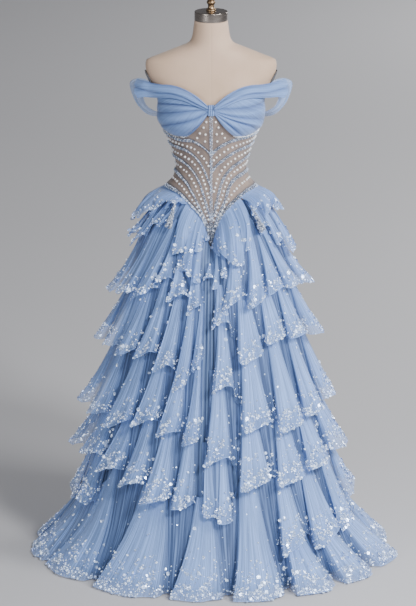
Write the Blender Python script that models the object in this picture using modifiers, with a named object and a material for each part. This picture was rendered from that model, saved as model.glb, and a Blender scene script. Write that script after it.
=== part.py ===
"""An a-line evening dress on a limbless dress form, as closed solids.

Metres, +Z up, the origin on the floor under the stand. The front faces -Y.
Angles round the figure start at the front and grow towards +X.
A cloth wall is a grid of points, rows from the top down and columns round the
figure, made solid inwards. A frill's points come from a table of its flutes.
"""

import math
from typing import NamedTuple

import bmesh
import bpy
from mathutils import Vector

COLLECTION = "evening_dress"

# ---------------------------------------------------------------- sizes
SKIRT_WALL = 0.0018
SWAG_WALL = 0.0012
BODICE_WALL = 0.0016
KNOT_WALL = 0.0012
PLATE_WALL = 0.0022
BODICE_OUT = 0.0035          # outer face of the bodice, off the form
SEAM_GAP = 0.0004            # clear space between two pieces at a seam
CENTRE_GAP = 0.0006          # the same at the centre front, where beads meet
TUCK = 0.045                 # how far a frill starts above the hem over it
TUCK_UNDER = 0.007           # how far a skirt top reaches up inside the bodice
EDGE_DROP = 0.003            # how far below the bodice's edge the skirt turns out
EDGE_RISE = 0.030            # how soon the skirt leaves the bodice's line
EDGE_GROWTH = 0.6            # how soon a drape at the edge stands off the hull
UNDER_GAP = 0.0020           # from the bodice's inner face to a tucked top
TOP_OUT = 0.0031             # outer face of a tucked top, off the underskirt
VALLEY_RISE = 0.010          # how much higher a hem is between two flutes
SWELL = 0.55                 # how much wider a flute's crest is than its valley
FORM_SLIM = 0.0045           # how much the form is slimmer where it is dressed
FORM_STEPS = 20
DRESSED_TOP = 1.366          # the height where the dress starts on the form
DRESSED_FADE = 0.030
SHOULDER_RADIUS = 0.165
WELD = 0.000001
MERGE = 0.0001
FLOOR = 0.0
HEM_LEVEL = 0.002            # below this, a hem that rests is level
SHARP = math.radians(40.0)

# colour (linear), roughness, metal
CLOTH_BLUE = (0.36, 0.50, 0.76, 1.0)
CLOTH_DEEP = (0.24, 0.36, 0.62, 1.0)
MESH_NUDE = (0.42, 0.35, 0.32, 1.0)
LINEN = (0.72, 0.64, 0.54, 1.0)
STEEL = (0.55, 0.53, 0.51, 1.0)
BRONZE = (0.30, 0.20, 0.11, 1.0)
BEADS = (0.55, 0.58, 0.66, 1.0)
IRON = (0.05, 0.05, 0.055, 1.0)

# ------------------------------------------------- the form, by height
# height, half width, depth to the front, depth to the back
FORM_SECTIONS = (
    (0.800, 0.1200, 0.0850, 0.0900),
    (0.835, 0.1470, 0.1050, 0.1120),
    (0.900, 0.1550, 0.1100, 0.1200),
    (0.970, 0.1490, 0.1060, 0.1160),
    (1.030, 0.1370, 0.0980, 0.1020),
    (1.070, 0.1262, 0.0920, 0.0900),
    (1.095, 0.1045, 0.0840, 0.0790),
    (1.128, 0.0955, 0.0790, 0.0730),
    (1.172, 0.1050, 0.0880, 0.0750),
    (1.227, 0.1250, 0.1070, 0.0830),
    (1.270, 0.1430, 0.1220, 0.0910),
    (1.316, 0.1455, 0.1190, 0.0960),
    (1.345, 0.1550, 0.1040, 0.0960),
    (1.366, 0.1680, 0.0920, 0.0920),
    (1.392, 0.1800, 0.0780, 0.0840),
    (1.416, 0.1845, 0.0660, 0.0740),
    (1.431, 0.1820, 0.0600, 0.0660),
    (1.447, 0.1460, 0.0570, 0.0600),
    (1.464, 0.1040, 0.0550, 0.0560),
    (1.482, 0.0620, 0.0520, 0.0520),
    (1.500, 0.0530, 0.0500, 0.0500),
    (1.545, 0.0466, 0.0466, 0.0466),
)
# ------------------------------------------- the skirt's cone, by height
# height, half width, depth as a share of the width
CONE_SECTIONS = (
    (0.000, 0.4450, 1.00),
    (0.150, 0.3720, 1.00),
    (0.450, 0.3020, 0.97),
    (0.790, 0.2255, 0.90),
    (0.900, 0.2020, 0.85),
    (0.980, 0.1800, 0.80),
    (1.030, 0.1580, 0.76),
    (1.075, 0.1310, 0.74),
)
# ------------------------------------ the beaded cords, by angle from the front
# the height of each cord at each of these angles, highest cord first; the
# last one lies along the bodice's lower edge
CORD_ANGLES = (0, 5, 12, 20, 30, 45, 60, 75, 90)
LEFT_CORDS = (
    (1.180, 1.190, 1.203, 1.214, 1.222, 1.220, 1.222, 1.227, 1.229),
    (1.088, 1.104, 1.129, 1.154, 1.176, 1.191, 1.195, 1.197, 1.198),
    (0.996, 1.023, 1.064, 1.094, 1.118, 1.143, 1.156, 1.160, 1.162),
    (0.963, 0.980, 1.009, 1.037, 1.068, 1.094, 1.108, 1.116, 1.119),
    (0.928, 0.958, 0.992, 1.012, 1.030, 1.054, 1.067, 1.070, 1.070),
)
RIGHT_CORDS = (
    (1.180, 1.190, 1.202, 1.212, 1.220, 1.225, 1.226, 1.228, 1.229),
    (1.126, 1.137, 1.150, 1.161, 1.174, 1.188, 1.193, 1.196, 1.198),
    (0.996, 1.018, 1.066, 1.100, 1.122, 1.142, 1.153, 1.160, 1.162),
    (0.963, 0.980, 1.010, 1.041, 1.082, 1.105, 1.113, 1.117, 1.119),
    (0.928, 0.958, 0.992, 1.014, 1.032, 1.053, 1.066, 1.070, 1.070),
)
CORD_LIFT = 0.0030
CORD_HALF = 0.0048
# angle from the front, height of the bodice's top edge
BODICE_TOP = (
    (0, 1.3255), (20, 1.334), (45, 1.345), (70, 1.347), (90, 1.340),
    (120, 1.322), (150, 1.304), (180, 1.298),
)
# the columns of a front panel, in degrees, and how high the centre beads stand
CENTRE_EDGE = math.degrees(0.5 * CENTRE_GAP / 0.11)
FRONT_COLUMNS = (CENTRE_EDGE, 1.7, 3.2, 5.0, 12.0, 20.0, 30.0, 45.0, 60.0, 75.0, 89.9)
CENTRE_LIFTS = (CORD_LIFT, 0.6 * CORD_LIFT)
BACK_COLUMNS = (90.1, 103.0, 118.0, 134.0, 150.0, 164.0, 175.5, 179.85)
BACK_ROWS = (0.0, 0.2, 0.4, 0.6, 0.8, 1.0)
# angle from the front, height of the back's lower edge
BACK_EDGE = ((90, 1.070), (130, 1.068), (180, 1.062))
PLACKET_COLUMNS = (-0.0070, -0.0024, 0.0024, 0.0070)   # across its width
PLACKET_ROWS = (0.0, 0.2, 0.4, 0.6, 0.8, 0.985)
BACK_DEPTH = 0.090           # the form's depth at the centre back
# ------------------------------------------------------------- the cups
CUP_PLEATS = 7
CUP_KNOT_ANGLE = 3.4
CUP_KNOT_TOP = 1.3245        # heights of the gathered end, top and bottom
CUP_KNOT_FOOT = 1.3060
CUP_BOW_TOP = 0.012          # how far its top fold bows up, and its lowest down
CUP_BOW_FOOT = -0.011
CUP_FADE = 0.0016            # how much further out it is than its far edge
CUP_FULL = 0.45              # share of the way out where its pleats are full
CUP_REACHES = (0.0, 0.1, 0.28, 0.5, 0.7, 0.86, 1.0)
CUP_OUT = 0.0074             # outer face of a cup's far edge, off the form
CUP_PUFF = 0.010             # how far a cup swells in its middle
CUP_PLEAT = 0.0021           # how high its pleats stand
# share of the fan, angle, height of the cup's outer edge
CUP_EDGE = (
    (0.00, 77.0, 1.3660),
    (0.12, 78.0, 1.3450),
    (0.25, 80.0, 1.3220),
    (0.40, 86.0, 1.2940),
    (0.52, 86.5, 1.2700),
    (0.64, 84.0, 1.2460),
    (0.74, 75.0, 1.2390),
    (0.86, 52.0, 1.2320),
    (1.00, 34.0, 1.2340),
)
# off the form, height of the knot's wrap over the cups' gathered ends
KNOT_PATH = (
    (0.0045, 1.3290), (0.0102, 1.3297), (0.0126, 1.3240), (0.0128, 1.3155),
    (0.0122, 1.3060), (0.0102, 1.3002), (0.0078, 1.2999),
)
KNOT_HALF = 0.0098
KNOT_WAIST = 0.14            # how much narrower it is in its middle
CHEST_DEPTH = 0.125          # the form's depth at the knot
KNOT_COLUMNS = 9
KNOT_PLEAT = 0.0005
# ------------------------------------------------------------ the sleeves
# near edge x, y, z, far edge x, y, z (for the side at +X), along the loop
SLEEVE_STATIONS = (
    (0.1640, -0.0340, 1.3450, 0.1700, -0.0300, 1.3740),
    (0.1760, -0.0420, 1.3540, 0.1860, -0.0080, 1.3790),
    (0.1900, -0.0440, 1.3520, 0.2080, 0.0120, 1.3780),
    (0.2010, -0.0400, 1.3380, 0.2290, 0.0260, 1.3640),
    (0.2040, -0.0360, 1.3160, 0.2260, 0.0340, 1.3380),
    (0.1970, -0.0340, 1.2950, 0.2110, 0.0360, 1.3100),
    (0.1840, -0.0320, 1.2800, 0.1930, 0.0340, 1.2870),
    (0.1700, -0.0300, 1.2710, 0.1740, 0.0300, 1.2720),
    (0.1570, -0.0270, 1.2680, 0.1560, 0.0260, 1.2660),
)
SLEEVE_MIDDLE = (0.165, 1.325)   # x and height that the loop goes round
SLEEVE_PUFF = 0.007
SLEEVE_RIPPLE = 0.0022
SLEEVE_ROWS = 5
SLEEVE_COLUMNS = 14
# ------------------------------------------------------- the arm plates
PLATE_HEIGHT = 1.3740
PLATE_HALF_TALL = 0.0270
PLATE_HALF_DEEP = 0.0250
PLATE_OUT = 0.0046


class Flute(NamedTuple):
    """One fold of a frill: where its crest is, its hem and how far it stands."""

    angle: float
    hem: float
    reach: float


class Strip(NamedTuple):
    """A frill, from one angle to another.

    flutes are its folds from the first end, rows of angle, hem height and
    reach; far_flutes go on to its last end, and the folds between the two
    tables are spaced about step degrees apart. tops is its upper edge, rows of
    angle and height; at_edge starts it inside the bodice's edge instead, and
    with neither it starts a tuck above the hem of the frill over it. valley is
    how far its folds' valleys stand off the underskirt and power how late its
    crests swell on the way down. columns is the number of points to a fold,
    and lean how many degrees each end's folds drift on the way down.
    """

    name: str
    start: float
    end: float
    flutes: tuple
    far_flutes: tuple = ()
    step: float = 26.0
    tops: tuple = ()
    closed: bool = False
    at_edge: bool = False
    rows: tuple = (0.0, 0.45, 1.0)
    power: float = 1.5
    valley: float = 0.014
    columns: int = 6
    lean: tuple = (0.0, 0.0)
    wall: float = SKIRT_WALL


# A row above 0 is the tuck inside the bodice; the rest are shares of the way
# from the bodice's edge down to the hem.
EDGE_ROWS = (-1.0, 0.0, 0.2, 0.55, 1.0)
SWAG_LEFT = Strip(
    "front_swag_left", -37.0, -2.0,
    ((-31, 0.915, 0.014), (-21, 0.898, 0.020), (-12, 0.925, 0.018),
     (-5, 0.945, 0.014)),
    at_edge=True, rows=EDGE_ROWS, power=0.9, valley=0.016, columns=4,
    wall=SWAG_WALL, lean=(7.0, -0.4),
)
SWAG_RIGHT = Strip(
    "front_swag_right", 1.0, 46.0,
    ((5, 0.914, 0.008), (12.5, 0.912, 0.015), (21, 0.893, 0.020),
     (30, 0.887, 0.018), (40, 0.925, 0.014)),
    at_edge=True, rows=EDGE_ROWS, power=0.9, valley=0.016, columns=4,
    wall=SWAG_WALL, lean=(-2.2, -11.0),
)
SWAG_TAIL_LEFT = Strip(
    "swag_tail_left", -29.0, -8.0,
    ((-25, 0.872, 0.006), (-18, 0.860, 0.010), (-11, 0.842, 0.012)),
    tops=((-30, 0.935), (-8, 0.938)), power=1.6, valley=0.019, columns=4,
)
SWAG_TAIL_RIGHT = Strip(
    "swag_tail_right", -4.0, 13.0,
    ((-1, 0.850, 0.010), (5, 0.826, 0.012), (11, 0.852, 0.008)),
    tops=((-5, 0.888), (0, 0.884), (6, 0.915), (14, 0.930)),
    power=1.6, valley=0.019, columns=4,
)
HIP_DRAPE_LEFT = Strip(
    "hip_drape_left", -179.7, -38.0,
    ((-162, 0.985, 0.020), (-136, 0.975, 0.026), (-112, 0.970, 0.028),
     (-89, 0.968, 0.033), (-73, 0.995, 0.025), (-60, 1.018, 0.017),
     (-47, 1.040, 0.008)),
    at_edge=True, rows=EDGE_ROWS, power=0.9, valley=0.019, columns=4,
)
HIP_DRAPE_RIGHT = Strip(
    "hip_drape_right", 47.0, 179.7,
    ((55, 1.022, 0.006), (69, 1.012, 0.008), (86, 1.008, 0.010),
     (106, 0.985, 0.020), (134, 0.972, 0.026), (162, 0.985, 0.020)),
    at_edge=True, rows=EDGE_ROWS, power=0.9, valley=0.018, columns=4,
)
HIP_FRILL_LEFT = Strip(
    "hip_frill_left", -179.7, -40.0,
    ((-166, 0.925, 0.022), (-142, 0.912, 0.026), (-120, 0.912, 0.026),
     (-101, 0.918, 0.022), (-85, 0.930, 0.023), (-72, 0.915, 0.021),
     (-60, 0.962, 0.012), (-48, 0.985, 0.006)),
    power=2.0, valley=0.017, columns=4,
)
HIP_FRILL_RIGHT = Strip(
    "hip_frill_right", 49.0, 179.7,
    ((56, 0.968, 0.006), (66, 0.925, 0.012), (79, 0.888, 0.020),
     (95, 0.890, 0.022), (116, 0.905, 0.024), (139, 0.912, 0.024),
     (164, 0.922, 0.022)),
    power=2.0, valley=0.017, columns=4,
)
TIER_1 = Strip(
    "tier_1", 9.0, 355.0,
    ((16.5, 0.785, 0.034), (33, 0.780, 0.036), (49, 0.808, 0.032),
     (66, 0.808, 0.036), (86, 0.792, 0.056), (110, 0.785, 0.042)),
    ((250, 0.780, 0.042), (275, 0.768, 0.050), (293, 0.782, 0.040), (311, 0.786, 0.040),
     (325, 0.838, 0.024), (339, 0.800, 0.040), (351, 0.768, 0.026)),
    power=1.8,
    tops=((9, 0.888), (14, 0.890), (19, 0.925), (30, 0.935), (36, 0.985),
          (46, 0.995), (55, 0.990), (66, 0.955), (80, 0.925), (95, 0.925),
          (130, 0.945), (180, 0.955), (260, 0.950), (290, 0.955),
          (300, 0.990), (315, 1.000), (323, 0.985), (331, 0.920),
          (337, 0.890), (355, 0.882)),
)
TIER_2 = Strip(
    "tier_2", 1.5, 356.0,
    ((6, 0.728, 0.024), (25, 0.632, 0.040), (43.5, 0.676, 0.034),
     (60, 0.672, 0.038), (80, 0.652, 0.056), (105, 0.640, 0.040)),
    ((247, 0.636, 0.040), (272, 0.628, 0.056), (290, 0.628, 0.044), (307, 0.622, 0.042),
     (322, 0.632, 0.042), (335, 0.606, 0.040), (346, 0.556, 0.038),
     (353.5, 0.618, 0.022)),
)
TIER_3 = Strip(
    "tier_3", 1.5, 356.0,
    ((7, 0.556, 0.026), (24, 0.448, 0.042), (44, 0.436, 0.044),
     (61, 0.455, 0.042), (80, 0.470, 0.048), (105, 0.455, 0.038)),
    ((249, 0.448, 0.038), (274, 0.440, 0.062), (292, 0.432, 0.046), (311, 0.424, 0.044),
     (328, 0.450, 0.036), (341, 0.432, 0.042), (352.5, 0.408, 0.030)),
)
TIER_4 = Strip(
    "tier_4", -3.5, 354.0,
    ((4, 0.360, 0.030), (21, 0.290, 0.044), (40, 0.290, 0.040),
     (57, 0.310, 0.044), (75, 0.330, 0.056), (102, 0.322, 0.036)),
    ((249, 0.318, 0.036), (274, 0.312, 0.060), (292, 0.316, 0.040), (311, 0.298, 0.042),
     (325, 0.276, 0.036), (337, 0.242, 0.046), (349.5, 0.232, 0.030)),
)
TIER_5_FRONT = Strip(
    "tier_5_front", -5.5, 11.0,
    ((-2, 0.212, 0.018), (6, 0.195, 0.026)),
    valley=0.018,
)
TIER_5 = Strip(
    "tier_5", 27.0, 301.0,
    ((35, 0.112, 0.042), (52, 0.110, 0.044), (69, 0.122, 0.034),
     (87, 0.180, 0.034)),
    ((275, 0.170, 0.022), (291, 0.178, 0.022)),
    valley=0.018,
)
TIER_6 = Strip(
    "tier_6", -13.0, 347.0,
    ((-3.5, FLOOR, 0.052), (17.5, FLOOR, 0.066), (37.5, FLOOR, 0.074),
     (55, FLOOR, 0.078), (74, FLOOR, 0.086), (98, FLOOR, 0.058)),
    ((256, FLOOR, 0.054), (280, FLOOR, 0.062), (302, FLOOR, 0.056), (333, FLOOR, 0.060)),
    closed=True, power=1.6,
    tops=((-14, 0.275), (-6, 0.255), (9, 0.250), (17, 0.325), (26, 0.325),
          (36, 0.160), (52, 0.155), (69, 0.168), (87, 0.222), (110, 0.215),
          (180, 0.210), (275, 0.213), (291, 0.222), (301, 0.250),
          (309, 0.335), (325, 0.318), (337, 0.288), (346, 0.275)),
)
# how far a filled-in fold's hem, place and reach wander
WANDER_HEM = 0.010
WANDER_ANGLE = 1.6
WANDER_REACH = 0.10
# ------------------------------------------------------- the underskirt
UNDERSKIRT_WALL = 0.0014
UNDERSKIRT_COLUMNS = 36
UNDERSKIRT_TOP_DROP = 0.013
UNDERSKIRT_HIP = 0.76        # the row under its top ones is halfway to this
UNDERSKIRT_HEIGHTS = (0.79, 0.45, 0.15, 0.012)
UNDERSKIRT_PLEAT = 0.006
PLEAT_RISE = 0.2             # the length over which its pleats open
UNDERSKIRT_INSET = 0.0008
# ------------------------------------------------------------ the hip clasps
# name, angle, height of its top and its foot, how far each is off the hull
CLASPS = (
    ("hip_clasp_left", -38.5, 1.043, 0.972, 0.0245, 0.0360),
    ("hip_clasp_right", 47.5, 1.030, 0.965, 0.0245, 0.0360),
)
# share of the length from the foot, radius; beads strung ever smaller upwards
CLASP_PROFILE = (
    (1.00, 0.0014), (0.93, 0.0034), (0.79, 0.0028), (0.66, 0.0048),
    (0.54, 0.0038), (0.43, 0.0062), (0.33, 0.0050), (0.24, 0.0078),
    (0.16, 0.0060), (0.10, 0.0092), (0.04, 0.0085), (0.00, 0.0035),
)
# --------------------------------------------------- the cap and the stand
# height, radius, from the top down
FINIAL_FOOT = 1.5714
FINIAL_PROFILE = (
    (0.074, 0.0030), (0.070, 0.0090), (0.060, 0.0165), (0.048, 0.0190),
    (0.038, 0.0160), (0.030, 0.0100), (0.026, 0.0115), (0.021, 0.0115),
    (0.015, 0.0085), (0.009, 0.0095), (0.004, 0.0135), (0.000, 0.0135),
)
CAP_PROFILE = ((1.5710, 0.0450), (1.5690, 0.0466), (1.5460, 0.0466), (1.5454, 0.0462))
BASE_PROFILE = (
    (0.022, 0.0300), (0.018, 0.0600), (0.012, 0.1560), (0.006, 0.1700),
    (0.000, 0.1700),
)
POLE_RADIUS = 0.0140
POLE_FOOT = 0.0224
POLE_TOP = 0.7996


# ------------------------------------------------------------ small maths
def along(rows, key):
    """The columns of a table at a key between two rows of its first column."""
    if key <= rows[0][0]:
        return rows[0][1:]
    for low, high in zip(rows, rows[1:]):
        if key <= high[0]:
            share = (key - low[0]) / (high[0] - low[0])
            return tuple(a + (b - a) * share for a, b in zip(low[1:], high[1:]))
    return rows[-1][1:]


def oval(angle, half_width, front, back):
    """The radius of an oval section at an angle from the front."""
    depth = front if math.cos(angle) > 0.0 else back
    return 1.0 / math.hypot(math.sin(angle) / half_width, math.cos(angle) / depth)


def place(angle, radius, height):
    """The point at an angle, a radius and a height."""
    return Vector((radius * math.sin(angle), -radius * math.cos(angle), height))


def form_radius(angle, height, out=0.0):
    """How far the form's side is from the axis, moved out by a distance."""
    half_width, front, back = along(FORM_SECTIONS, height)
    return oval(angle, half_width + out, front + out, back + out)


def basque(degrees):
    """The height of the bodice's lower edge at an angle."""
    degrees = (degrees + 180.0) % 360.0 - 180.0
    if abs(degrees) > 90.0:
        return along(BACK_EDGE, abs(degrees))[0]
    cords = LEFT_CORDS if degrees < 0.0 else RIGHT_CORDS
    return along(tuple(zip(CORD_ANGLES, cords[-1])), abs(degrees))[0]


def hull(degrees, height):
    """The underskirt's radius: the bodice's line, then out to the cone."""
    angle = math.radians(degrees)
    half_width, depth = along(CONE_SECTIONS, height)
    cone = oval(angle, half_width, half_width * depth, half_width * depth)
    edge = basque(degrees) - EDGE_DROP
    under = BODICE_OUT - BODICE_WALL - UNDER_GAP
    if height >= edge:
        return form_radius(angle, height, under)
    seam = form_radius(angle, edge, under)
    return seam + (cone - seam) * (1.0 - math.exp((height - edge) / EDGE_RISE))


# --------------------------------------------------------- making solids
def material(name, colour, roughness, metal=0.0):
    """A plain material of one colour, made once."""
    made = bpy.data.materials.get(name)
    if made is None:
        made = bpy.data.materials.new(name)
        made.use_nodes = True
        node = made.node_tree.nodes["Principled BSDF"]
        node.inputs["Base Color"].default_value = colour
        node.inputs["Roughness"].default_value = roughness
        node.inputs["Metallic"].default_value = metal
        made.diffuse_color = colour
    return made


def keep(name, mesh, look):
    """An object of the dress's collection from a mesh, with its material."""
    mesh.materials.append(look)
    made = bpy.data.objects.new(name, mesh)
    bpy.data.collections[COLLECTION].objects.link(made)
    return made


def from_net(name, net, look):
    """An object from an edited mesh, shaded smooth."""
    mesh = bpy.data.meshes.new(name)
    net.to_mesh(mesh)
    net.free()
    mesh.shade_smooth()
    return keep(name, mesh, look)


def fitted_grid(rows, closed=False):
    """An open grid fitted through rows of points, the top row first."""
    if closed:
        rows = [row + row[:1] for row in rows]
    net = bmesh.new()
    spans = len(rows[0]) - 1
    bmesh.ops.create_grid(net, x_segments=spans, y_segments=len(rows) - 1, size=1.0)
    points = [point for row in reversed(rows) for point in row]
    for vertex, point in zip(net.verts, points):
        vertex.co = point
    bmesh.ops.triangulate(net, faces=net.faces[:], quad_method="ALTERNATE")
    if closed:
        bmesh.ops.remove_doubles(net, verts=net.verts[:], dist=WELD)
    return net


def cloth(name, rows, wall, look, closed=False):
    """A cloth wall: its outer face through rows of points, solid inwards."""
    made = from_net(name, fitted_grid(rows, closed), look)
    solid = made.modifiers.new("wall", "SOLIDIFY")
    solid.thickness = wall
    solid.offset = -1.0
    solid.use_quality_normals = True
    return made


def raised_cloth(name, rows, lifts, wall, look):
    """A cloth wall over a plain inner face, thicker where it is lifted."""
    made = from_net(name, fitted_grid(rows), look)
    thickest = wall + max(max(row) for row in lifts)
    group = made.vertex_groups.new(name="thickness")
    flat = [lift for row in reversed(lifts) for lift in row]
    for index, lift in enumerate(flat):
        group.add([index], (wall + lift) / thickest, "REPLACE")
    solid = made.modifiers.new("wall", "SOLIDIFY")
    solid.thickness = thickest
    solid.offset = 1.0
    solid.vertex_group = group.name
    return made


def lofted(name, rings, look):
    """A solid through closed rings of points, the top ring first."""
    net = fitted_grid(rings, closed=True)
    ends = [edge for edge in net.edges if edge.is_boundary]
    bmesh.ops.holes_fill(net, edges=ends, sides=0)
    return from_net(name, net, look)


def spun(name, profile, steps, look, foot=0.0):
    """A solid turned round its own Z from heights and radii, top first."""
    outline = [(0.0, profile[0][0])]
    outline += [(radius, height) for height, radius in profile]
    outline.append((0.0, profile[-1][0]))
    points = [(radius, 0.0, height) for radius, height in outline]
    edges = [(index, index + 1) for index in range(len(points) - 1)]
    mesh = bpy.data.meshes.new(name)
    mesh.from_pydata(points, edges, [])
    made = keep(name, mesh, look)
    made.location.z = foot
    turn = made.modifiers.new("turn", "SCREW")
    turn.steps = steps
    turn.render_steps = steps
    turn.use_smooth_shade = True
    turn.use_merge_vertices = True
    turn.merge_threshold = MERGE
    return made


# ------------------------------------------------------------- the form
def make_torso(look):
    """The form's trunk and neck, slimmer where the dress covers it."""
    rings = []
    for section in reversed(FORM_SECTIONS):
        height = section[0]
        covered = min(1.0, max(0.0, (DRESSED_TOP - height) / DRESSED_FADE))
        ring = []
        for step in range(FORM_STEPS):
            angle = 2.0 * math.pi * step / FORM_STEPS
            radius = form_radius(angle, height, -FORM_SLIM * covered)
            ring.append(place(angle, radius, height))
        rings.append(ring)
    return lofted("form_torso", rings, look)


def make_pole(look):
    """The round pole between the base and the torso."""
    net = bmesh.new()
    bmesh.ops.create_cone(
        net, cap_ends=True, segments=16, radius1=POLE_RADIUS, radius2=POLE_RADIUS,
        depth=POLE_TOP - POLE_FOOT,
    )
    made = from_net("stand_pole", net, look)
    made.data.set_sharp_from_angle(angle=SHARP)
    made.location.z = (POLE_FOOT + POLE_TOP) / 2.0
    return made


def make_arm_plate(name, side, look):
    """An oval plate that lies along the form's side over its arm opening."""
    rows = []
    for tall in (1.0, 0.72, 0.25, -0.25, -0.72, -1.0):
        height = PLATE_HEIGHT + PLATE_HALF_TALL * tall
        deep = PLATE_HALF_DEEP * math.sqrt(max(0.12, 1.0 - tall * tall))
        row = []
        for across in (-1.0, -0.5, 0.0, 0.5, 1.0):
            angle = math.pi / 2.0 + deep * across / SHOULDER_RADIUS
            radius = form_radius(angle, height, PLATE_OUT)
            row.append(place(side * angle, radius, height))
        if side < 0.0:
            row.reverse()
        rows.append(row)
    return cloth(name, rows, PLATE_WALL, look)


def make_form():
    """The torso with its arm plates, the neck cap, the finial and the stand."""
    linen = material("form_linen", LINEN, 0.85)
    steel = material("cap_steel", STEEL, 0.3, 1.0)
    bronze = material("finial_bronze", BRONZE, 0.4, 1.0)
    iron = material("stand_iron", IRON, 0.5)
    make_torso(linen)
    spun("neck_cap", CAP_PROFILE, FORM_STEPS, steel)
    spun("finial", FINIAL_PROFILE, 12, bronze, FINIAL_FOOT)
    spun("stand_base", BASE_PROFILE, 24, iron)
    make_pole(iron)
    make_arm_plate("arm_plate_left", -1.0, iron)
    make_arm_plate("arm_plate_right", 1.0, iron)


# ----------------------------------------------------------- the bodice
def bodice_rows(cords, degrees):
    """Heights and lifts of a front panel's rows at an angle, top first."""
    top = along(BODICE_TOP, degrees)[0]
    heights = [along(tuple(zip(CORD_ANGLES, cord)), degrees)[0] for cord in cords]
    rows = [(top + (heights[0] - top) * share, 0.0) for share in (0.0, 0.3, 0.6)]
    for height in heights[:-1]:
        rows.append((height + CORD_HALF, 0.0))
        rows.append((height, CORD_LIFT))
        rows.append((height - CORD_HALF, 0.0))
    edge = heights[-1]
    rows.append((edge + 2.0 * CORD_HALF, 0.0))
    rows.append((edge + CORD_HALF, CORD_LIFT))
    rows.append((edge, 0.0))
    return rows


def make_bodice_front(name, side):
    """A front panel with its raised cords, from centre front to side seam."""
    cords = LEFT_CORDS if side < 0.0 else RIGHT_CORDS
    look = material("bodice_mesh", MESH_NUDE, 0.6)
    columns = []
    raised = []
    for index, degrees in enumerate(FRONT_COLUMNS):
        least = CENTRE_LIFTS[index] if index < len(CENTRE_LIFTS) else 0.0
        angle = math.radians(degrees) * side
        column = []
        lifts = []
        for height, lift in bodice_rows(cords, max(degrees, FRONT_COLUMNS[1])):
            radius = form_radius(angle, height, BODICE_OUT - BODICE_WALL)
            column.append(place(angle, radius, height))
            lifts.append(max(lift, least))
        columns.append(column)
        raised.append(lifts)
    if side < 0.0:
        columns.reverse()
        raised.reverse()
    rows = [list(row) for row in zip(*columns)]
    lifts = [list(row) for row in zip(*raised)]
    return raised_cloth(name, rows, lifts, BODICE_WALL, look)


def back_panel_rows(angles, out, shares):
    """Rows of points over the back between its two edges, moved out."""
    rows = []
    for share in shares:
        row = []
        for degrees in angles:
            top = along(BODICE_TOP, abs(degrees))[0]
            height = top + (basque(degrees) - top) * share
            angle = math.radians(degrees)
            row.append(place(angle, form_radius(angle, height, out), height))
        rows.append(row)
    return rows


def make_bodice_back(name, side):
    """A plain back panel, from the side seam to the centre back."""
    look = material("bodice_mesh", MESH_NUDE, 0.6)
    angles = sorted(side * degrees for degrees in BACK_COLUMNS)
    rows = back_panel_rows(angles, BODICE_OUT, BACK_ROWS)
    return cloth(name, rows, BODICE_WALL, look)


def make_placket():
    """The narrow strip over the closing at the centre back."""
    look = material("bodice_mesh", MESH_NUDE, 0.6)
    out = BODICE_OUT + 1.5 * SEAM_GAP + BODICE_WALL
    top = along(BODICE_TOP, 180.0)[0]
    edge = basque(180.0)
    rows = []
    for share in PLACKET_ROWS:
        height = top + (edge - top) * share
        row = []
        for across in PLACKET_COLUMNS:
            angle = math.pi + across / BACK_DEPTH
            row.append(place(angle, form_radius(angle, height, out), height))
        rows.append(row)
    return cloth("back_placket", rows, BODICE_WALL, look)


# ------------------------------------------------------------- the cups
def cup_point(side, fan, reach):
    """A point of a cup: its share of the fan, its share of the way out."""
    angle, height = along(CUP_EDGE, fan)
    start = CUP_KNOT_TOP + (CUP_KNOT_FOOT - CUP_KNOT_TOP) * fan
    bow = CUP_BOW_TOP + (CUP_BOW_FOOT - CUP_BOW_TOP) * fan
    degrees = CUP_KNOT_ANGLE + (angle - CUP_KNOT_ANGLE) * reach
    lift = start + (height - start) * reach + 4.0 * bow * reach * (1.0 - reach)
    fade = 1.0 - reach ** 4
    puff = CUP_PUFF * math.sin(math.pi * reach) * math.sin(math.pi * (0.08 + 0.84 * fan))
    pleat = CUP_PLEAT * fade * min(1.0, reach / CUP_FULL)
    out = CUP_OUT + CUP_FADE * fade + puff
    out += pleat * math.cos(2.0 * math.pi * CUP_PLEATS * fan)
    spot = math.radians(degrees) * side
    return place(spot, form_radius(spot, lift, out), lift)


def make_cup(name, side):
    """A cup: cloth pleated at the knot and fanned out to the side."""
    look = material("tulle_blue", CLOTH_BLUE, 0.7)
    rows = []
    steps = 4 * CUP_PLEATS
    for step in range(steps + 1):
        row = [cup_point(side, step / steps, reach) for reach in CUP_REACHES]
        if side < 0.0:
            row.reverse()
        rows.append(row)
    return cloth(name, rows, BODICE_WALL, look)


def make_knot():
    """The short wrap over the cups' gathered ends, with its small pleats."""
    look = material("tulle_blue", CLOTH_BLUE, 0.7)
    rows = []
    for index, (out, height) in enumerate(KNOT_PATH):
        waist = 1.0 - KNOT_WAIST * math.sin(math.pi * index / (len(KNOT_PATH) - 1))
        row = []
        for step in range(KNOT_COLUMNS):
            across = (2.0 * step / (KNOT_COLUMNS - 1) - 1.0) * KNOT_HALF * waist
            pleat = KNOT_PLEAT * math.cos(step * math.pi)
            angle = across / CHEST_DEPTH
            radius = form_radius(angle, height, out + pleat)
            row.append(place(angle, radius, height))
        rows.append(row)
    return cloth("centre_knot", rows, KNOT_WALL, look)


# ------------------------------------------------------------ the sleeves
def bowed(points, share):
    """A smooth curve through points, at a share of its length."""
    spans = len(points) - 1
    reach = min(max(share, 0.0), 1.0) * spans
    index = min(int(reach), spans - 1)
    part = reach - index
    here, after = points[index], points[index + 1]
    before = points[index - 1] if index > 0 else here * 2.0 - after
    beyond = points[index + 2] if index < spans - 1 else after * 2.0 - here
    bend = (here * 3.0 - before - after * 3.0 + beyond) * part ** 3
    curve = (before * 2.0 - here * 5.0 + after * 4.0 - beyond) * part ** 2
    return (here * 2.0 + (after - before) * part + curve + bend) * 0.5


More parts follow.
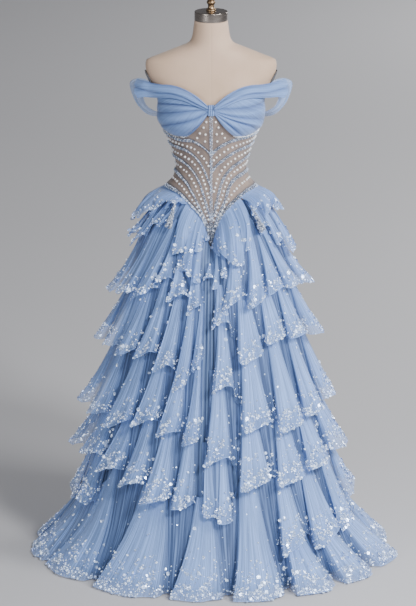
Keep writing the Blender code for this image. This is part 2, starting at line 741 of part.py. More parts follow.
def sleeve_point(side, share, across):
    """A point of a sleeve's loop: along the loop, and across its width."""
    near = [Vector((side * row[0], row[1], row[2])) for row in SLEEVE_STATIONS]
    far = [Vector((side * row[3], row[4], row[5])) for row in SLEEVE_STATIONS]
    spot = bowed(near, share).lerp(bowed(far, share), across)
    middle = Vector((side * SLEEVE_MIDDLE[0], spot.y, SLEEVE_MIDDLE[1]))
    fade = math.sin(math.pi * share)
    puff = SLEEVE_PUFF * math.sin(math.pi * across)
    ripple = SLEEVE_RIPPLE * math.sin(5.0 * math.pi * across + 5.0 * share)
    return spot + (spot - middle).normalized() * (puff + ripple) * fade


def make_sleeve(name, side):
    """A loose loop of cloth off the shoulder, open in the middle."""
    look = material("tulle_blue", CLOTH_BLUE, 0.7)
    rows = []
    for i in range(SLEEVE_ROWS):
        across = i / (SLEEVE_ROWS - 1)
        shares = [j / (SLEEVE_COLUMNS - 1) for j in range(SLEEVE_COLUMNS)]
        row = [sleeve_point(side, share, across) for share in shares]
        if side > 0.0:
            row.reverse()
        rows.append(row)
    return cloth(name, rows, BODICE_WALL, look)


# -------------------------------------------------------------- the skirt
def jitter(index, salt):
    """A small fixed unevenness between -1 and 1."""
    return math.sin(12.9898 * (index + 1) + 78.233 * salt)


def all_flutes(strip):
    """The strip's flutes from end to end, the unlisted ones filled in."""
    flutes = [Flute(*row) for row in strip.flutes]
    if not strip.far_flutes:
        return flutes
    far = [Flute(*row) for row in strip.far_flutes]
    begin, finish = flutes[-1], far[0]
    span = finish.angle - begin.angle
    count = max(1, round(span / strip.step)) - 1
    salt = len(strip.name) + strip.start
    wander = 0.0 if strip.closed else WANDER_HEM
    for index in range(count):
        share = (index + 1) / (count + 1)
        angle = begin.angle + span * share
        angle += WANDER_ANGLE * jitter(index, salt + 2.0)
        hem = begin.hem + (finish.hem - begin.hem) * share
        hem += wander * jitter(index, salt)
        reach = begin.reach + (finish.reach - begin.reach) * share
        reach *= 1.0 + WANDER_REACH * jitter(index, salt + 1.0)
        flutes.append(Flute(angle, hem, reach))
    return flutes + far


def cells(strip):
    """Each flute with its valleys' angles and hems, before and after it."""
    flutes = all_flutes(strip)
    rise = 0.0 if strip.closed else VALLEY_RISE
    valleys = [(strip.start, flutes[0].hem + rise)]
    for one, other in zip(flutes, flutes[1:]):
        middle = (one.angle + other.angle) / 2.0
        valleys.append((middle, (one.hem + other.hem) / 2.0 + rise))
    valleys.append((strip.end, flutes[-1].hem + rise))
    return list(zip(valleys, flutes, valleys[1:]))


def hem_line(strip, degrees):
    """The height of a strip's hem over an angle, without its waves."""
    rows = tuple((flute.angle, flute.hem) for flute in all_flutes(strip))
    turns = (degrees - 360.0, degrees, degrees + 360.0)
    nearest = min(turns, key=lambda at: max(strip.start - at, at - strip.end))
    return along(rows, nearest)[0]


def strip_top(strip, above, degrees):
    """Where a strip starts at an angle: at the bodice's edge, or tucked."""
    edge = basque(degrees)
    if strip.at_edge:
        return edge - EDGE_DROP
    if strip.tops:
        around = degrees
        while around < strip.tops[0][0] - 15.0:
            around += 360.0
        return along(strip.tops, around)[0]
    return min(hem_line(above, degrees) + TUCK, edge - 2.0 * TUCK_UNDER)


def strip_point(strip, above, cell, turn, down):
    """A point of a strip: across one flute (-1 to 1) and down its length."""
    before, flute, after = cell
    phase = math.pi * turn
    swing = (phase + SWELL * math.sin(phase)) / math.pi
    side = before if swing < 0.0 else after
    degrees = flute.angle + abs(swing) * (side[0] - flute.angle)
    share = (degrees - strip.start) / (strip.end - strip.start)
    lean = strip.lean[0] + (strip.lean[1] - strip.lean[0]) * share
    degrees += lean * max(0.0, down)
    crest = 0.5 + 0.5 * math.cos(phase)
    hem = side[1] + (flute.hem - side[1]) * crest
    top = strip_top(strip, above, degrees)
    if down < 0.0:
        height = top + TUCK_UNDER
        return place(math.radians(degrees), hull(degrees, height), height)
    height = top + (hem - top) * down
    first = 0.0 if strip.at_edge else TOP_OUT
    growth = down ** EDGE_GROWTH if strip.at_edge else down
    out = first + (strip.valley - first) * growth
    out += flute.reach * crest * down ** strip.power
    return place(math.radians(degrees), hull(degrees, height) + out, height)


def make_strip(strip, look, above=None):
    """A frill's wall, flute by flute; above is the frill that hangs over it."""
    pieces = cells(strip)
    rows = []
    for down in strip.rows:
        row = []
        for cell in pieces:
            for step in range(strip.columns):
                turn = 2.0 * step / strip.columns - 1.0
                row.append(strip_point(strip, above, cell, turn, down))
        if not strip.closed:
            row.append(strip_point(strip, above, pieces[-1], 1.0, down))
        rows.append(row)
    return cloth(strip.name, rows, strip.wall, look, strip.closed)


def stand_on_floor(made):
    """Level the underside of a hem, so that it rests on the floor."""
    evaluated = made.evaluated_get(bpy.context.evaluated_depsgraph_get())
    solid = bpy.data.meshes.new_from_object(evaluated)
    made.modifiers.clear()
    made.data = solid
    for vertex in solid.vertices:
        if vertex.co.z < HEM_LEVEL:
            vertex.co.z = FLOOR


def make_underskirt():
    """The pleated underskirt that all the frills are sewn to."""
    look = material("underskirt_blue", CLOTH_DEEP, 0.7)
    columns = []
    for step in range(UNDERSKIRT_COLUMNS):
        degrees = 360.0 * step / UNDERSKIRT_COLUMNS
        top = basque(degrees) - UNDERSKIRT_TOP_DROP
        heights = (top, top - EDGE_RISE, (top + UNDERSKIRT_HIP) / 2.0)
        heights += UNDERSKIRT_HEIGHTS
        column = []
        for height in heights:
            depth = UNDERSKIRT_PLEAT * min(1.0, (top - height) / PLEAT_RISE)
            pleat = depth * (step % 2)
            radius = hull(degrees, height) - UNDERSKIRT_INSET - pleat
            column.append(place(math.radians(degrees), radius, height))
        columns.append(column)
    rows = [list(row) for row in zip(*columns)]
    return cloth("underskirt", rows, UNDERSKIRT_WALL, look, closed=True)


def make_clasp(name, degrees, high, low, top_out, foot_out):
    """A hanging cluster of beads at the hip, wider at its foot."""
    look = material("hip_beads", BEADS, 0.3, 0.3)
    angle = math.radians(degrees)
    top = place(angle, hull(degrees, high) + top_out, high)
    foot = place(angle, hull(degrees, low) + foot_out, low)
    length = (top - foot).length
    profile = [(share * length, radius) for share, radius in CLASP_PROFILE]
    made = spun(name, profile, 8, look)
    made.location = foot
    made.rotation_euler = (top - foot).to_track_quat("Z", "Y").to_euler()
    return made


def make_skirt():
    """The underskirt, the front swags, the hip drapes and the frills."""
    blue = material("tulle_blue", CLOTH_BLUE, 0.7)
    make_underskirt()
    for strip in (SWAG_LEFT, SWAG_RIGHT, SWAG_TAIL_LEFT, SWAG_TAIL_RIGHT):
        make_strip(strip, blue)
    for drape, frill in (
        (HIP_DRAPE_LEFT, HIP_FRILL_LEFT),
        (HIP_DRAPE_RIGHT, HIP_FRILL_RIGHT),
    ):
        make_strip(drape, blue)
        make_strip(frill, blue, drape)
    make_strip(TIER_1, blue)
    make_strip(TIER_2, blue, TIER_1)
    make_strip(TIER_3, blue, TIER_2)
    make_strip(TIER_4, blue, TIER_3)
    make_strip(TIER_5_FRONT, blue, TIER_4)
    make_strip(TIER_5, blue, TIER_4)
    stand_on_floor(make_strip(TIER_6, blue))
    for row in CLASPS:
        make_clasp(*row)


def make_bodice():
    """The panels, the cups, the knot between them and the sleeves."""
    for suffix, side in (("left", -1.0), ("right", 1.0)):
        make_bodice_front("bodice_front_" + suffix, side)
        make_bodice_back("bodice_back_" + suffix, side)
        make_cup("cup_" + suffix, side)
        make_sleeve("sleeve_" + suffix, side)
    make_placket()
    make_knot()


def main():
    """Clear the scene and build every piece in the dress's collection."""
    for item in list(bpy.data.objects):
        bpy.data.objects.remove(item, do_unlink=True)
    bpy.context.scene.collection.children.link(bpy.data.collections.new(COLLECTION))
    make_form()
    make_bodice()
    make_skirt()


main()
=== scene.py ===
"""Looks of an a-line evening dress worn by a limbless dress form.

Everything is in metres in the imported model's frame: +Z up, the origin on the
floor under the stand, the gown's front facing -Y. Angles round the figure
start at the front and grow towards +X. Cloth is made as fine grids, rows from
the top down and columns round the figure, on the same forms as the solids.
"""

import logging
import sys
from abc import ABC, abstractmethod
from dataclasses import dataclass, field
from enum import Enum
from math import pi
from typing import Any, NamedTuple

import bmesh
import bpy
import numpy as np
from mathutils import Euler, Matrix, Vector

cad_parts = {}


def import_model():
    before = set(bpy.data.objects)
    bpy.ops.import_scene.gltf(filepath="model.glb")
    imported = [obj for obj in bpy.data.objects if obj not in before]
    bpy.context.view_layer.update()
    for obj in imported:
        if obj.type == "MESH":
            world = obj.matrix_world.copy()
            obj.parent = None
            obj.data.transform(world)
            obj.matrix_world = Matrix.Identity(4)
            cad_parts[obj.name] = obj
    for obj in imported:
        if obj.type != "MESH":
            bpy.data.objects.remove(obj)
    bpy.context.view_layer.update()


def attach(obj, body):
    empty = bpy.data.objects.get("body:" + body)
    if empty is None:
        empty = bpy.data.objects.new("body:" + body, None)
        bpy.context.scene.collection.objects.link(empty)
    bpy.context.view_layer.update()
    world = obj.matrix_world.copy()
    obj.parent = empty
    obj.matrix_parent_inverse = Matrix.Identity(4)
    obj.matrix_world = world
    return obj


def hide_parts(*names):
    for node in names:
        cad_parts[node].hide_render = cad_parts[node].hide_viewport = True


LOG = logging.getLogger("evening_dress")
BODY = "root"
Array = np.ndarray
Material = bpy.types.Material
Mesh = bpy.types.Mesh
NodeTree = bpy.types.NodeTree
Object = bpy.types.Object
Socket = bpy.types.NodeSocket
Rows = tuple[tuple[float, ...], ...]
Spot = tuple[float, float, float]
Colour = tuple[float, float, float]
BLACK: Colour = (0.0, 0.0, 0.0)


class Side(Enum):
    """A side of the gown, as the viewer sees it; its value points along X."""

    LEFT = -1.0
    RIGHT = 1.0

    @property
    def word(self) -> str:
        """The side's word in the nodes' names."""
        return self.name.lower()

    @property
    def flip(self) -> tuple[float, float, float]:
        """What mirrors a point of the right side to this one."""
        return self.value, 1.0, 1.0


class Held(Enum):
    """How a sheet of cloth is held."""

    GATHERED = "gathered"
    DRAPED = "draped"
    STRETCHED = "stretched"


# ---------------- shapes
@dataclass(frozen=True)
class SmoothTable:
    """Rows of numbers, read smoothly between the keys in their first column.

    Attributes:
        rows: The rows, their keys rising.
    """

    rows: Rows

    def read(self, keys: Array | float, column: int = 1) -> Array:
        """Read one column without overshooting its rows.

        Args:
            keys: Where to read, in the first column's unit.
            column: The column to read.

        Returns:
            The column's value at each key.
        """
        table = np.array(self.rows, dtype=float)
        x, y = table[:, 0], table[:, column]
        step = np.diff(x)
        slope = np.diff(y) / step
        tangent = np.concatenate((slope[:1], np.zeros(len(x) - 2), slope[-1:]))
        product = slope[:-1] * slope[1:]
        same = product > 0.0
        total = np.where(same, slope[:-1] + slope[1:], 1.0)
        tangent[1:-1] = np.where(same, 2.0 * product / total, 0.0)
        keys = np.clip(keys, x[0], x[-1])
        left = np.clip(np.searchsorted(x, keys, side="right") - 1, 0, len(x) - 2)
        span = step[left]
        t = (keys - x[left]) / span
        rise = tangent[left] * span * t * (1.0 - t) ** 2
        fall = tangent[left + 1] * span * t * t * (t - 1.0)
        near = y[left] * (1.0 + 2.0 * t) * (1.0 - t) ** 2
        return near + y[left + 1] * t * t * (3.0 - 2.0 * t) + rise + fall


def place(angle: Array, radius: Array, height: Array) -> Array:
    """Points at angles in radians, radii and heights; x, y and z come last."""
    angle, radius, height = np.broadcast_arrays(angle, radius, height)
    return np.stack((radius * np.sin(angle), -radius * np.cos(angle), height), axis=-1)


def jitter(index: Array | float, salt: float) -> Array | float:
    """A small fixed unevenness between -1 and 1."""
    return np.sin(12.9898 * (index + 1) + 78.233 * salt)


def along(points: Array) -> Array:
    """How far each point of a line is along it."""
    steps = np.linalg.norm(np.diff(points, axis=0), axis=-1)
    return np.concatenate(([0.0], np.cumsum(steps)))


def eased(value: Array) -> Array:
    """A share from 0 to 1 that starts and ends softly."""
    value = np.clip(value, 0.0, 1.0)
    return value * value * (3.0 - 2.0 * value)


# Height, half width, depth to the front, depth to the back of the form.
FORM_SECTIONS = SmoothTable((
    (0.800, 0.1200, 0.0850, 0.0900),
    (0.835, 0.1470, 0.1050, 0.1120),
    (0.900, 0.1550, 0.1100, 0.1200),
    (0.970, 0.1490, 0.1060, 0.1160),
    (1.030, 0.1370, 0.0980, 0.1020),
    (1.070, 0.1262, 0.0920, 0.0900),
    (1.095, 0.1045, 0.0840, 0.0790),
    (1.128, 0.0955, 0.0790, 0.0730),
    (1.172, 0.1050, 0.0880, 0.0750),
    (1.227, 0.1250, 0.1070, 0.0830),
    (1.270, 0.1430, 0.1220, 0.0910),
    (1.316, 0.1455, 0.1190, 0.0960),
    (1.345, 0.1550, 0.1040, 0.0960),
    (1.366, 0.1680, 0.0920, 0.0920),
    (1.392, 0.1800, 0.0780, 0.0840),
    (1.416, 0.1845, 0.0660, 0.0740),
    (1.431, 0.1820, 0.0600, 0.0660),
    (1.447, 0.1460, 0.0570, 0.0600),
    (1.464, 0.1040, 0.0550, 0.0560),
    (1.482, 0.0620, 0.0520, 0.0520),
    (1.500, 0.0530, 0.0500, 0.0500),
    (1.545, 0.0466, 0.0466, 0.0466),
))
# Height, half width, depth as a share of the width of the skirt's cone.
CONE_SECTIONS = SmoothTable((
    (0.000, 0.4450, 1.00),
    (0.150, 0.3720, 1.00),
    (0.450, 0.3020, 0.97),
    (0.790, 0.2255, 0.90),
    (0.900, 0.2020, 0.85),
    (0.980, 0.1800, 0.80),
    (1.030, 0.1580, 0.76),
    (1.075, 0.1310, 0.74),
))
# Degrees from the front, then the height of each beaded cord, highest first;
# the last one lies along the bodice's lower edge.
LEFT_CORDS = SmoothTable((
    (0, 1.180, 1.088, 0.996, 0.963, 0.928),
    (5, 1.190, 1.104, 1.023, 0.980, 0.958),
    (12, 1.203, 1.129, 1.064, 1.009, 0.992),
    (20, 1.214, 1.154, 1.094, 1.037, 1.012),
    (30, 1.222, 1.176, 1.118, 1.068, 1.030),
    (45, 1.220, 1.191, 1.143, 1.094, 1.054),
    (60, 1.222, 1.195, 1.156, 1.108, 1.067),
    (75, 1.227, 1.197, 1.160, 1.116, 1.070),
    (90, 1.229, 1.198, 1.162, 1.119, 1.070),
))
RIGHT_CORDS = SmoothTable((
    (0, 1.180, 1.126, 0.996, 0.963, 0.928),
    (5, 1.190, 1.137, 1.018, 0.980, 0.958),
    (12, 1.202, 1.150, 1.066, 1.010, 0.992),
    (20, 1.212, 1.161, 1.100, 1.041, 1.014),
    (30, 1.220, 1.174, 1.122, 1.082, 1.032),
    (45, 1.225, 1.188, 1.142, 1.105, 1.053),
    (60, 1.226, 1.193, 1.153, 1.113, 1.066),
    (75, 1.228, 1.196, 1.160, 1.117, 1.070),
    (90, 1.229, 1.198, 1.162, 1.119, 1.070),
))
CORD_COUNT = 5               # cords a side
# Degrees from the front, height of the bodice's top edge.
BODICE_TOP = SmoothTable((
    (0, 1.3255), (20, 1.334), (45, 1.345), (70, 1.347), (90, 1.340),
    (120, 1.322), (150, 1.304), (180, 1.298),
))
BACK_EDGE = SmoothTable(((90, 1.070), (130, 1.068), (180, 1.062)))
BODICE_OUT = 0.0035          # the bodice's outer face, off the form
BODICE_WALL = 0.0016         # how thick its mesh is
CORD_HALF = 0.0048           # half the width of a beaded cord
UNDER_GAP = 0.0020           # from the bodice's inner face to a tucked top
EDGE_DROP = 0.003            # how far under the bodice's edge the skirt turns out
EDGE_RISE = 0.030            # how soon the skirt leaves the bodice's line
TUCK = 0.045                 # how far a frill starts above the hem over it
TUCK_UNDER = 0.007           # how far a skirt top reaches up inside the bodice
TOP_OUT = 0.0031             # a tucked top, off the underskirt


class Figure:
    """The form, the bodice's lower edge and the underskirt's line."""

    @staticmethod
    def form_radius(angle: Array, height: Array, out: Array | float = 0.0) -> Array:
        """How far the form's side is from the axis.

        Args:
            angle: Angles from the front, in radians.
            height: Heights over the floor.
            out: How far the side is moved out.

        Returns:
            The radii.
        """
        half_width = FORM_SECTIONS.read(height, 1) + out
        front = FORM_SECTIONS.read(height, 2)
        back = FORM_SECTIONS.read(height, 3)
        depth = np.where(np.cos(angle) > 0.0, front, back) + out
        return 1.0 / np.hypot(np.sin(angle) / half_width, np.cos(angle) / depth)

    @staticmethod
    def basque(degrees: Array) -> Array:
        """The height of the bodice's lower edge.

        Args:
            degrees: Angles from the front, in degrees.

        Returns:
            The heights.
        """
        turned = (np.asarray(degrees) + 180.0) % 360.0 - 180.0
        left = LEFT_CORDS.read(np.abs(turned), CORD_COUNT)
        right = RIGHT_CORDS.read(np.abs(turned), CORD_COUNT)
        front = np.where(turned < 0.0, left, right)
        return np.where(np.abs(turned) > 90.0, BACK_EDGE.read(np.abs(turned)), front)

    @classmethod
    def hull(cls, degrees: Array, height: Array) -> Array:
        """The underskirt's radius: the bodice's line, then out to the cone.

        Args:
            degrees: Angles from the front, in degrees.
            height: Heights over the floor.

        Returns:
            The radii.
        """
        angle = np.radians(degrees)
        half_width = CONE_SECTIONS.read(height, 1)
        depth = half_width * CONE_SECTIONS.read(height, 2)
        cone = 1.0 / np.hypot(np.sin(angle) / half_width, np.cos(angle) / depth)
        edge = cls.basque(degrees) - EDGE_DROP
        under = BODICE_OUT - BODICE_WALL - UNDER_GAP
        seam = cls.form_radius(angle, np.maximum(height, edge), under)
        drop = np.minimum(height - edge, 0.0)
        return seam + (cone - seam) * (1.0 - np.exp(drop / EDGE_RISE))


# ---------------- making meshes
@dataclass
class Cloth:
    """A grid of points with what its finish reads from it.

    Attributes:
        points: The points, by row from the top, by column and by axis.
        across: How far each point is along the cloth's width.
        up: How far each point is from the hem.
        values: Named numbers at the points.
        closed: Whether the last column meets the first.
    """

    points: Array
    across: Array
    up: Array
    values: dict[str, Array] = field(default_factory=dict)
    closed: bool = False

    @classmethod
    def laid(cls, points: Array, values: dict[str, Array] | None = None,
             closed: bool = False, turned: bool = False) -> "Cloth":
        """Measure a grid along its hem and its columns.

        Args:
            points: The grid's points.
            values: Named numbers at the points.
            closed: Whether the last column meets the first.
            turned: Whether its columns run the other way, so that it faces in.

        Returns:
            The cloth with its distances in metres.
        """
        values = values or {}
        if turned:
            points = points[:, ::-1]
            values = {name: value[:, ::-1] for name, value in values.items()}
        lengths = np.linalg.norm(np.diff(points, axis=0), axis=-1)
        below = np.concatenate((np.cumsum(lengths[::-1], axis=0)[::-1],
                                np.zeros((1, points.shape[1]))))
        wide = np.broadcast_to(along(points[-1]), below.shape)
        return cls(points, wide, below, values, closed)

    @property
    def hem(self) -> float:
        """The hem's length when it is laid flat."""
        step = self.wrapped[-1, -1] - self.points[-1, -1]
        return float(self.across[-1, -1]) + float(np.linalg.norm(step))

    @property
    def wrapped(self) -> Array:
        """The points, and in a closed grid the first column again at the end."""
        again = self.points[:, :1] if self.closed else self.points[:, :0]
        return np.concatenate((self.points, again), axis=1)

    @property
    def width(self) -> float:
        """The cut's mean width from its top to its hem, laid flat."""
        steps = np.linalg.norm(np.diff(self.wrapped, axis=1), axis=-1)
        return float(steps.sum(axis=1).mean())

    @property
    def length(self) -> float:
        """The longest column's length when it is laid flat."""
        return float(self.up.max())

    @property
    def area(self) -> float:
        """The cut's flat area, added up from its cells' diagonals.

        Returns:
            The area in square metres.
        """
        grid = self.wrapped
        one = grid[1:, 1:] - grid[:-1, :-1]
        other = grid[1:, :-1] - grid[:-1, 1:]
        return float(0.5 * np.linalg.norm(np.cross(one, other), axis=-1).sum())

    def mesh(self, name: str) -> Mesh:
        """Make the mesh, its UV map in metres and its point attributes.

        Args:
            name: The mesh's name.

        Returns:
            The new mesh, shaded smooth.
        """
        rows, columns = self.points.shape[:2]
        last = columns if self.closed else columns - 1
        i, j = np.meshgrid(np.arange(rows - 1), np.arange(last), indexing="ij")
        i, j = i.ravel(), j.ravel()
        corners = np.stack((i, i + 1, i + 1, i)), np.stack((j, j, j + 1, j + 1))
        index = (corners[0] * columns + corners[1] % columns).T
        mesh = bpy.data.meshes.new(name)
        mesh.from_pydata(self.points.reshape(-1, 3).tolist(), [], index.tolist())
        u = np.append(self.across, np.full((rows, 1), self.hem), axis=1)
        v = np.append(self.up, self.up[:, :1], axis=1)
        pairs = np.stack((u[corners], v[corners]), axis=-1).transpose(1, 0, 2)
        layer = mesh.uv_layers.new(name="cloth")
        layer.uv.foreach_set("vector", pairs.ravel().astype(np.float32))
        for label, value in self.values.items():
            made = mesh.attributes.new(label, "FLOAT", "POINT")
            flat = np.broadcast_to(value, (rows, columns)).ravel()
            made.data.foreach_set("value", flat.astype(np.float32))
        mesh.shade_smooth()
        return mesh


def add_plain(name: str, data: Any) -> Object:
    """Add an object to the scene.

    Args:
        name: Its name.
        data: Its mesh, light or camera.

    Returns:
        The new object.
    """
    made = bpy.data.objects.new(name, data)
    bpy.context.scene.collection.objects.link(made)
    return made


def add_object(name: str, mesh: Mesh, look: Material) -> Object:
    """Add a finished piece that rides on the gown's one body.

    Args:
        name: The piece's name.
        mesh: Its mesh, with its place in it.
        look: Its material.

    Returns:
        The new object.
    """
    mesh.materials.clear()
    mesh.materials.append(look)
    made = add_plain(name, mesh)
    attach(made, BODY)
    LOG.info("%s: %d faces", name, len(mesh.polygons))
    return made


@dataclass(frozen=True)
class Sheet:
    """How a grid of cloth is laid in its node's place.

    Attributes:
        held: How it is held; not used.
        rests_on: The piece that carries it; not used.
        slot: Its material slot; not used.
    """

    held: Held
    rests_on: str
    slot: str = "tulle_blue"

    def lay(self, node: str, cloth: Cloth, look: Material) -> None:
        """Args:
            node: The node that it stands for.
            cloth: Its grid.
            look: Its material.
        """
        made = add_object(f"{node}_cloth", cloth.mesh(node), look)
        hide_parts(node)


# ---------------- finishes
class Graph:
    """A node tree with short calls that add nodes and join their sockets."""

    def __init__(self, tree: NodeTree) -> None:
        """Start on an empty tree."""
        self.tree = tree
        tree.nodes.clear()

    def add(self, kind: str, inputs: dict[Any, Any] | None = None,
            **settings: Any) -> bpy.types.Node:
        """Add a node.

        Args:
            kind: The node's type.
            inputs: Its inputs by name or place; a socket is joined, and a
                colour is opaque.
            settings: The node's own settings.

        Returns:
            The new node.
        """
        node = self.tree.nodes.new(kind)
        for label, value in settings.items():
            setattr(node, label, value)
        for label, value in (inputs or {}).items():
            target = node.inputs[label]
            if isinstance(value, Socket):
                self.tree.links.new(value, target)
            else:
                opaque = target.type == "RGBA"
                target.default_value = (*value, 1.0) if opaque else value
        return node

    def math(self, operation: str, one: Any, other: Any = 0.0,
             clamp: bool = False) -> Socket:
        """Add a sum on one or two numbers and return its result."""
        node = self.add("ShaderNodeMath", {0: one, 1: other}, operation=operation,
                        use_clamp=clamp)
        return node.outputs[0]

    def ramp(self, value: Any, low: float, high: float, start: float,
             end: float) -> Socket:
        """Map a number from low and high to start and end, and return it."""
        inputs = {"Value": value, "From Min": low, "From Max": high, "To Min": start,
                  "To Max": end}
        return self.add("ShaderNodeMapRange", inputs).outputs["Result"]

    def blend(self, share: Any, one: Socket | Colour, other: Socket | Colour) -> Socket:
        """Blend two colours by the second one's share and return the colour."""
        node = self.add("ShaderNodeMix", {0: share, 6: one, 7: other}, data_type="RGBA")
        return node.outputs[2]

    def noise(self, vector: Any, scale: float, detail: float) -> Socket:
        """Add a noise and return its number."""
        inputs = {"Vector": vector, "Scale": scale, "Detail": detail}
        return self.add("ShaderNodeTexNoise", inputs).outputs["Fac"]

    def bump(self, height: Any, distance: float, strength: float) -> Socket:
        """Turn a height into a normal and return it."""
        inputs = {"Height": height, "Distance": distance, "Strength": strength}
        return self.add("ShaderNodeBump", inputs).outputs["Normal"]


@dataclass(frozen=True)
class Finish(ABC):
    """A finish that builds its own material.

    Attributes:
        name: The material's name.
    """

    name: str

    @abstractmethod
    def inputs(self, graph: Graph) -> dict[str, Any]:
        """Add its nodes to a graph and give the shader's inputs."""

    def material(self) -> Material:
        """Build the material.

        Returns:
            The new material.
        """
        look = bpy.data.materials.new(self.name)
        look.use_nodes = True
        graph = Graph(look.node_tree)
        shader = graph.add("ShaderNodeBsdfPrincipled", self.inputs(graph))
        graph.add("ShaderNodeOutputMaterial", {"Surface": shader.outputs[0]})
        return look


@dataclass(frozen=True)
class Tulle(Finish):
    """Layered tulle: streaked by its gathers, thinner towards its hem.

    Attributes:
        light: Its colour on a fold's crest, where the light is painted.
        deep: Its colour between folds: painted shade, and the deeper colour of more layers.
        body: How much it covers away from the hem.
        hem: How much it covers just above the hem.
        band: How far up the hem's thin band reaches.
        streak: Noise to a metre of its width.
        fall: Noise to a metre of its height.
        contrast: How much its streaks lighten and darken it: painted light and shade of
            fine pleats.
    """

    light: Colour
    deep: Colour
    body: float = 0.93
    hem: float = 0.62
    band: float = 0.075
    streak: float = 300.0
    fall: float = 4.0
    contrast: float = 0.34

    def inputs(self, graph: Graph) -> dict[str, Any]:
        """Add its nodes.

        Args:
            graph: Its node tree.

        Returns:
            The shader's inputs.
        """
        spot = graph.add("ShaderNodeUVMap", uv_map="cloth").outputs[0]
        split = graph.add("ShaderNodeSeparateXYZ", {0: spot})
        u, v = split.outputs[0], split.outputs[1]
        thread = graph.add("ShaderNodeCombineXYZ", {
            0: graph.math("MULTIPLY", u, self.streak),
            1: graph.math("MULTIPLY", v, self.fall),
        }).outputs[0]
        streak = graph.noise(thread, 1.0, 3.0)
        fine = graph.noise(thread, 3.1, 2.0)
        # The "fold" value is painted light and shade: crests lighter, valleys and tops
        # darker; valleys are also deeper from more layers.
        fold = graph.add("ShaderNodeAttribute", attribute_name="fold").outputs["Fac"]
        # The streaks are painted light and shade of the fine pleats.
        painted_pleat_light = graph.ramp(streak, 0.36, 0.66, -self.contrast, self.contrast)
        share = graph.math("ADD", fold, painted_pleat_light, clamp=True)
        colour = graph.blend(share, self.deep, self.light)
        thin = graph.ramp(v, 0.0, self.band, self.hem, self.body)
        rolled = graph.ramp(v, 0.0012, 0.0030, 0.30, 0.0)
        weave = graph.ramp(streak, 0.35, 0.68, -0.16, 0.14)
        cover = graph.math("ADD", graph.math("ADD", thin, rolled), weave, clamp=True)
        return {
            "Base Color": colour, "Roughness": 0.62, "Alpha": cover,
            "Sheen Weight": 0.25, "Sheen Roughness": 0.5,
            "Normal": graph.bump(graph.math("ADD", streak, fine), 0.0016, 0.45),
        }


@dataclass(frozen=True)
class NudeMesh(Finish):
    """Sheer mesh over the form, darker along each beaded cord: a painted shadow.

    Attributes:
        ground: Its lighter colour.
        shade: Its darker colour, in clouds.
        cord: Its colour under and beside a cord: a painted shadow.
        holes: Holes to a metre.
    """

    ground: Colour
    shade: Colour
    cord: Colour
    holes: float = 620.0

    def inputs(self, graph: Graph) -> dict[str, Any]:
        """Add its nodes.

        Args:
            graph: Its node tree.

        Returns:
            The shader's inputs.
        """
        spot = graph.add("ShaderNodeUVMap", uv_map="cloth").outputs[0]
        cloud = graph.noise(spot, 26.0, 2.0)
        holes = graph.add("ShaderNodeTexVoronoi", {
            "Vector": spot, "Scale": self.holes,
        }).outputs["Distance"]
        ground = graph.blend(cloud, self.shade, self.ground)
        # The "cord" share is a painted shadow along each cord; it also darkens the point in
        # front, the back panels' edges and the placket.
        near = graph.add("ShaderNodeAttribute", attribute_name="cord").outputs["Fac"]
        colour = graph.blend(near, ground, self.cord)
        cover = graph.ramp(holes, 0.1, 0.55, 0.96, 0.72)
        both = graph.math("MAXIMUM", cover, near, clamp=True)
        return {
            "Base Color": colour, "Roughness": 0.7, "Alpha": both,
            "Sheen Weight": 0.1,
            "Normal": graph.bump(holes, 0.0006, 0.5),
        }


@dataclass(frozen=True)
class Jersey(Finish):
    """Plain fine jersey drawn over the padded form.

    Attributes:
        ground: Its colour.
        worn: Its colour where it is worn, in clouds.
        thread: The colour of its sunk seams.
        knit: Noise to a metre of its knit.
    """

    ground: Colour
    worn: Colour
    thread: Colour = (0.30, 0.24, 0.19)
    knit: float = 900.0

    def inputs(self, graph: Graph) -> dict[str, Any]:
        """Add its nodes.

        Args:
            graph: Its node tree.

        Returns:
            The shader's inputs.
        """
        spot = graph.add("ShaderNodeTexCoord").outputs["Object"]
        cloud = graph.noise(spot, 9.0, 3.0)
        knit = graph.noise(spot, self.knit, 2.0)
        colour = graph.blend(graph.ramp(cloud, 0.35, 0.7, 0.0, 1.0), self.ground,
                             self.worn)
        seam = graph.add("ShaderNodeAttribute", attribute_name="seam").outputs["Fac"]
        return {
            "Base Color": graph.blend(seam, colour, self.thread),
            "Roughness": graph.ramp(knit, 0.3, 0.7, 0.62, 0.78),
            "Sheen Weight": 0.2,
            "Normal": graph.bump(knit, 0.0006, 0.35),
        }


@dataclass(frozen=True)
class Metal(Finish):
    """Brushed or dark metal with a little wear.

    Attributes:
        ground: Its colour.
        worn: Its colour in the brushed streaks.
        roughness: Its mean roughness.
        metal: How metallic it is.
        swing: How far its roughness goes either way.
    """

    ground: Colour
    worn: Colour
    roughness: float
    metal: float = 1.0
    swing: float = 0.07

    def inputs(self, graph: Graph) -> dict[str, Any]:
        """Add its nodes.

        Args:
            graph: Its node tree.

        Returns:
            The shader's inputs.
        """
        spot = graph.add("ShaderNodeTexCoord").outputs["Object"]
        drawn = graph.add("ShaderNodeMapping", {0: spot, 3: (1.0, 1.0, 40.0)})
        brushed = graph.noise(drawn.outputs[0], 28.0, 3.0)
        colour = graph.blend(brushed, self.ground, self.worn)
        rough = graph.ramp(brushed, 0.3, 0.7, self.roughness - self.swing,
                           self.roughness + self.swing)
        return {
            "Base Color": colour, "Roughness": rough, "Metallic": self.metal,
            "Normal": graph.bump(brushed, 0.0004, 0.2),
        }


